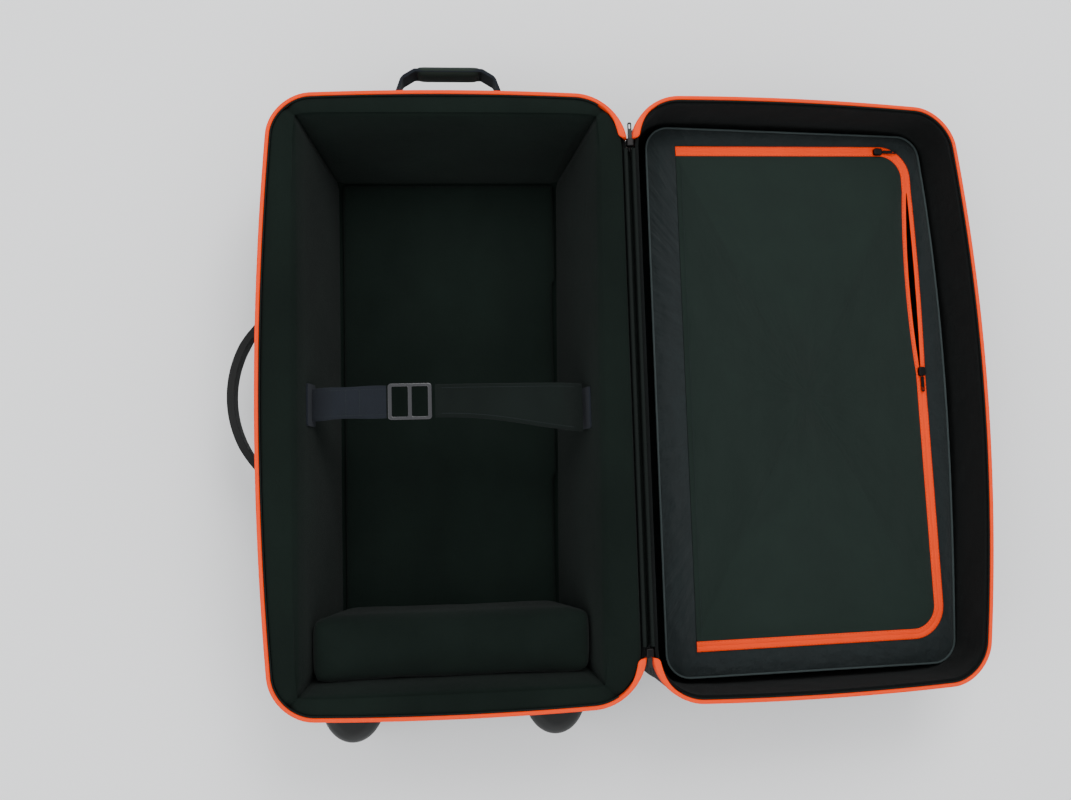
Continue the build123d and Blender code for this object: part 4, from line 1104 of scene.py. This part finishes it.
top_rows = []
for share in np.linspace(0, 1, 22):
    spots = between_edges(share)
    fade = (1 - share) ** 1.6 * smoothstep(share / 0.10)
    drift = ripple(spots[:, 0], spots[:, 1], 37, 0.055)
    lift = (0.0011 * pleat * fade + 0.0010 * drift * sin(pi * share) ** 0.5 + 0.0016 * sin(pi * share)
            - 0.0016 * (1 - share) ** 3)
    top_rows.append(laid("lid", spots, FACE - 0.0020 + lift))
bottom_rows = [laid("lid", between_edges(share), FACE - 0.0046) for share in (1.0, 0.5, 0.0)]
border = surface("pouch_border_cloth", np.array(top_rows + bottom_rows + [top_rows[0]]), border_cloth,
                 "lid", ["pouch_border"], crease=70)
tell("border")

# %% [markdown]
# Piping is a thin cord in a strip of cloth, sewn along the border's outer edge. It rises and falls
# a little with the pleats. Its lighter finish is a painted highlight along the cord.

# %% Piping
angle = np.linspace(0, 2 * pi, 10, endpoint=False)
pipe_w = FACE - 0.0026 + 0.0013 * np.sin(angle)[None, :] + 0.0002 * pleat[:, None]
# the piping's finish carries a painted highlight
surface("pouch_piping", carried("lid", outer_edge, outward(outer_edge), 0.0013 * np.cos(angle), pipe_w),
        piping_cloth, "lid", along=True)
tell("piping")

# %% [markdown]
# The gusset is the pouch's side wall, between the border and the lid's lining. It goes down on the
# outside and up on the inside, and both middles have a slow wave.

# %% Gusset
GUSSET_FOOT = -0.1338
gusset_rows = []
for w, inset in ((FACE - 0.0040, 0.0010), (FACE - 0.030, 0.0022), (FACE - 0.060, 0.0016),
                 (GUSSET_FOOT, 0.0010), (GUSSET_FOOT, 0.0035), (FACE - 0.060, 0.0040),
                 (FACE - 0.030, 0.0045), (FACE - 0.0046, 0.0035)):
    wave = 0.0006 * ripple(travel, np.full_like(travel, w), 41, 0.09) * (0.002 < inset < 0.0042)
    line = pouch_outline(inset, border_count)
    gusset_rows.append(laid("lid", line + outward(line) * wave[:, None], w))
gusset = surface("pouch_gusset_cloth", np.array(gusset_rows + [gusset_rows[0]]), border_cloth, "lid",
                 ["pouch_gusset"], crease=50)
tell("gusset")

# %% [markdown]
# ## Flap and zip
#
# The flap is a taut panel with a few slow waves, lowest in the middle. Its border follows the zip's
# inner edge, drawn in along the opening.

# %% Pouch flap
flap_edge = np.concatenate([seam_mid - seam_out * (0.0064 + open_in)[:, None],
                            np.linspace([0.0752, -0.2996], [0.0752, 0.3056], 300)[1:-1]])
flap_edge = spread_evenly(np.concatenate([flap_edge, flap_edge[:1]]), 481)[:-1]
flap_rows = []
for share in np.concatenate([np.linspace(0, 0.97, 44), [0.985, 1.0]]):
    spots = POUCH_CENTRE + (flap_edge - POUCH_CENTRE) * share
    edge_drop = 0.0009 * smoothstep((share - 0.955) / 0.045)
    soft = (0.00115 * ripple(spots[:, 0], spots[:, 1], 51, 0.34)
            + 0.0005 * ripple(spots[:, 0], spots[:, 1], 53, 0.09))
    soft = soft * smoothstep((1 - share) / 0.10) - 0.0012 * (1 - share**2)
    flap_rows.append(laid("lid", spots, FACE - 0.0006 + soft - edge_drop))
for share in (1.0, 0.66, 0.33, 0.0):
    spots = POUCH_CENTRE + (flap_edge - POUCH_CENTRE) * share
    flap_rows.append(laid("lid", spots, FACE - 0.0032 - 0.0012 * (1 - share**2)))
flap = surface("pouch_flap_cloth", np.array(flap_rows), flap_cloth, "flap",
               ["pouch_flap"], crease=60)
tell("flap")

# %% [markdown]
# The pouch's zip has a tape on each side of the seam, one sewn to the border and one to the flap.
# They part along the opening, and the inner one sinks a little there with the flap's edge. Where
# the zip is closed, its teeth are a bead between the tapes, which rides on the flap.

# %% Pouch zip
for label, sign, spread, body in (("outer", 1, open_out, "lid"), ("inner", -1, open_in, "flap")):
    profile = rounded_profile(0.00035, 0.0062, FACE - 0.0022, FACE - 0.0008, 0.0005, 3)
    wavy = 0.00015 * ripple(seam_reach, np.zeros_like(seam_reach), 61 + sign, 0.05)
    height = profile[None, :, 1] + wavy[:, None]
    if body == "flap":
        height = height - 0.0012 * lens[:, None]
    tape = carried("lid", seam_mid, seam_out, sign * (profile[None, :, 0] + spread[:, None]), height)
    surface(f"pouch_tape_{label}", capped(tape), zip_orange, body, [f"pouch_zip_{label}"])
angle = np.linspace(0, 2 * pi, 8, endpoint=False)
for label, shut in (("lower", seam_v < OPEN_FROM), ("upper", seam_v > OPEN_TO)):
    bead = carried("lid", seam_mid[shut], seam_out[shut], 0.0010 * np.cos(angle),
                   FACE - 0.0016 + 0.0006 * np.sin(angle))
    surface(f"pouch_teeth_{label}", capped(bead), zip_orange, "flap")
tell("pouch zip")

# %% [markdown]
# Orange thread runs along both tapes, and dark thread along the flap's hem on the hinge side.

# %% Pouch stitching
LID_UP = np.array([sin(DROOP), 0, cos(DROOP)])
for label, sign, body, spread in (("outer", 1, "lid", open_out), ("inner", -1, "flap", open_in)):
    offset = np.full(len(seam_mid), sign * 0.0052) + sign * spread
    seam(f"pouch_stitches_{label}", laid("lid", seam_mid + seam_out * offset[:, None], FACE - 0.0007),
         LID_UP, thread_orange, body, pitch=0.0042, length=0.0026, thick=0.0005)
hem = place("lid", 0.0815, np.linspace(-0.296, 0.302, 160), FACE + 0.0002)
seam("flap_hem_stitches", hem, LID_UP, thread_dark, "flap")
tell("pouch stitching")

# %% [markdown]
# ## Carry handles
#
# The side handle is a moulded rubber bow between two pins, and the top handle is webbing round a
# padded grip. Both start from their own solids, merged, bevelled and smoothed.

# %% Carry handles
softened("side_handle", "side_handle_bow", rubber_black, "side_carry_handle", 0.0022, 4)
softened("top_handle_strap", "top_handle_webbing", webbing_cloth, "top_carry_handle", 0.0008, 2)
grip = puffed("top_handle_grip", "top_handle_grip_cover", grip_cloth, "top_carry_handle",
              voxel=0.004, most=0.0012, start_scale=0.985)
tell("carry handles")

# %% [markdown]
# ## Floor and light
#
# A plain pale floor and broad soft lamps, so that the dark cloths keep their shapes.

# %% Floor and lamps
bpy.ops.mesh.primitive_plane_add(size=40, location=(0, 0, -0.0005))
floor = bpy.context.object
floor.name = "floor"
pale = Finish("pale_floor", roughness=0.9, specular=0.1)
pale.set("Base Color", pale.blend(pale.noise(2.0, 2), rgba(0.86, 0.86, 0.86), rgba(0.90, 0.90, 0.90)))
floor.data.materials.append(pale.material)

world = bpy.data.worlds.new("studio")
bpy.context.scene.world = world
world.use_nodes = True
sky = world.node_tree.nodes["Background"]
sky.inputs["Color"].default_value, sky.inputs["Strength"].default_value = rgba(0.95, 0.97, 1.0), 1.15


def lamp(name, spot, size, power):
    """A square area lamp at a spot, turned to the middle of the case."""
    data = bpy.data.lights.new(name, "AREA")
    data.shape, data.size, data.energy = "SQUARE", size, power
    light = bpy.data.objects.new(name, data)
    light.location = spot
    light.rotation_euler = (Vector((0, 0, 0.1)) - Vector(spot)).to_track_quat("-Z", "Y").to_euler()
    bpy.context.scene.collection.objects.link(light)


lamp("key", (0.6, 1.8, 2.6), 1.6, 60)
lamp("fill", (-2.0, -0.8, 2.2), 2.2, 25)
lamp("low", (0.2, -2.4, 1.3), 1.8, 14)
print("lamps:", len(bpy.data.lights))

# %% [markdown]
# The camera hangs about 1.4 m above the floor and looks almost straight down into the open case. Its
# turn is three small ones: a roll, a tip along the case and a tip across it.

# %% Camera
camera_data = bpy.data.cameras.new("camera")
camera_data.lens, camera_data.sensor_width = 34.08, 36.0
camera = bpy.data.objects.new("camera", camera_data)
turn = (Matrix.Rotation(radians(1.64), 3, "Z") @ Matrix.Rotation(radians(-5.74), 3, "X")
        @ Matrix.Rotation(radians(4.9), 3, "Y"))
camera.matrix_world = Matrix.Translation((-0.0082, -0.126, 1.35928)) @ turn.transposed().to_4x4()
bpy.context.scene.collection.objects.link(camera)
bpy.context.scene.camera = camera
print("camera at", [round(x, 3) for x in camera.matrix_world.translation])
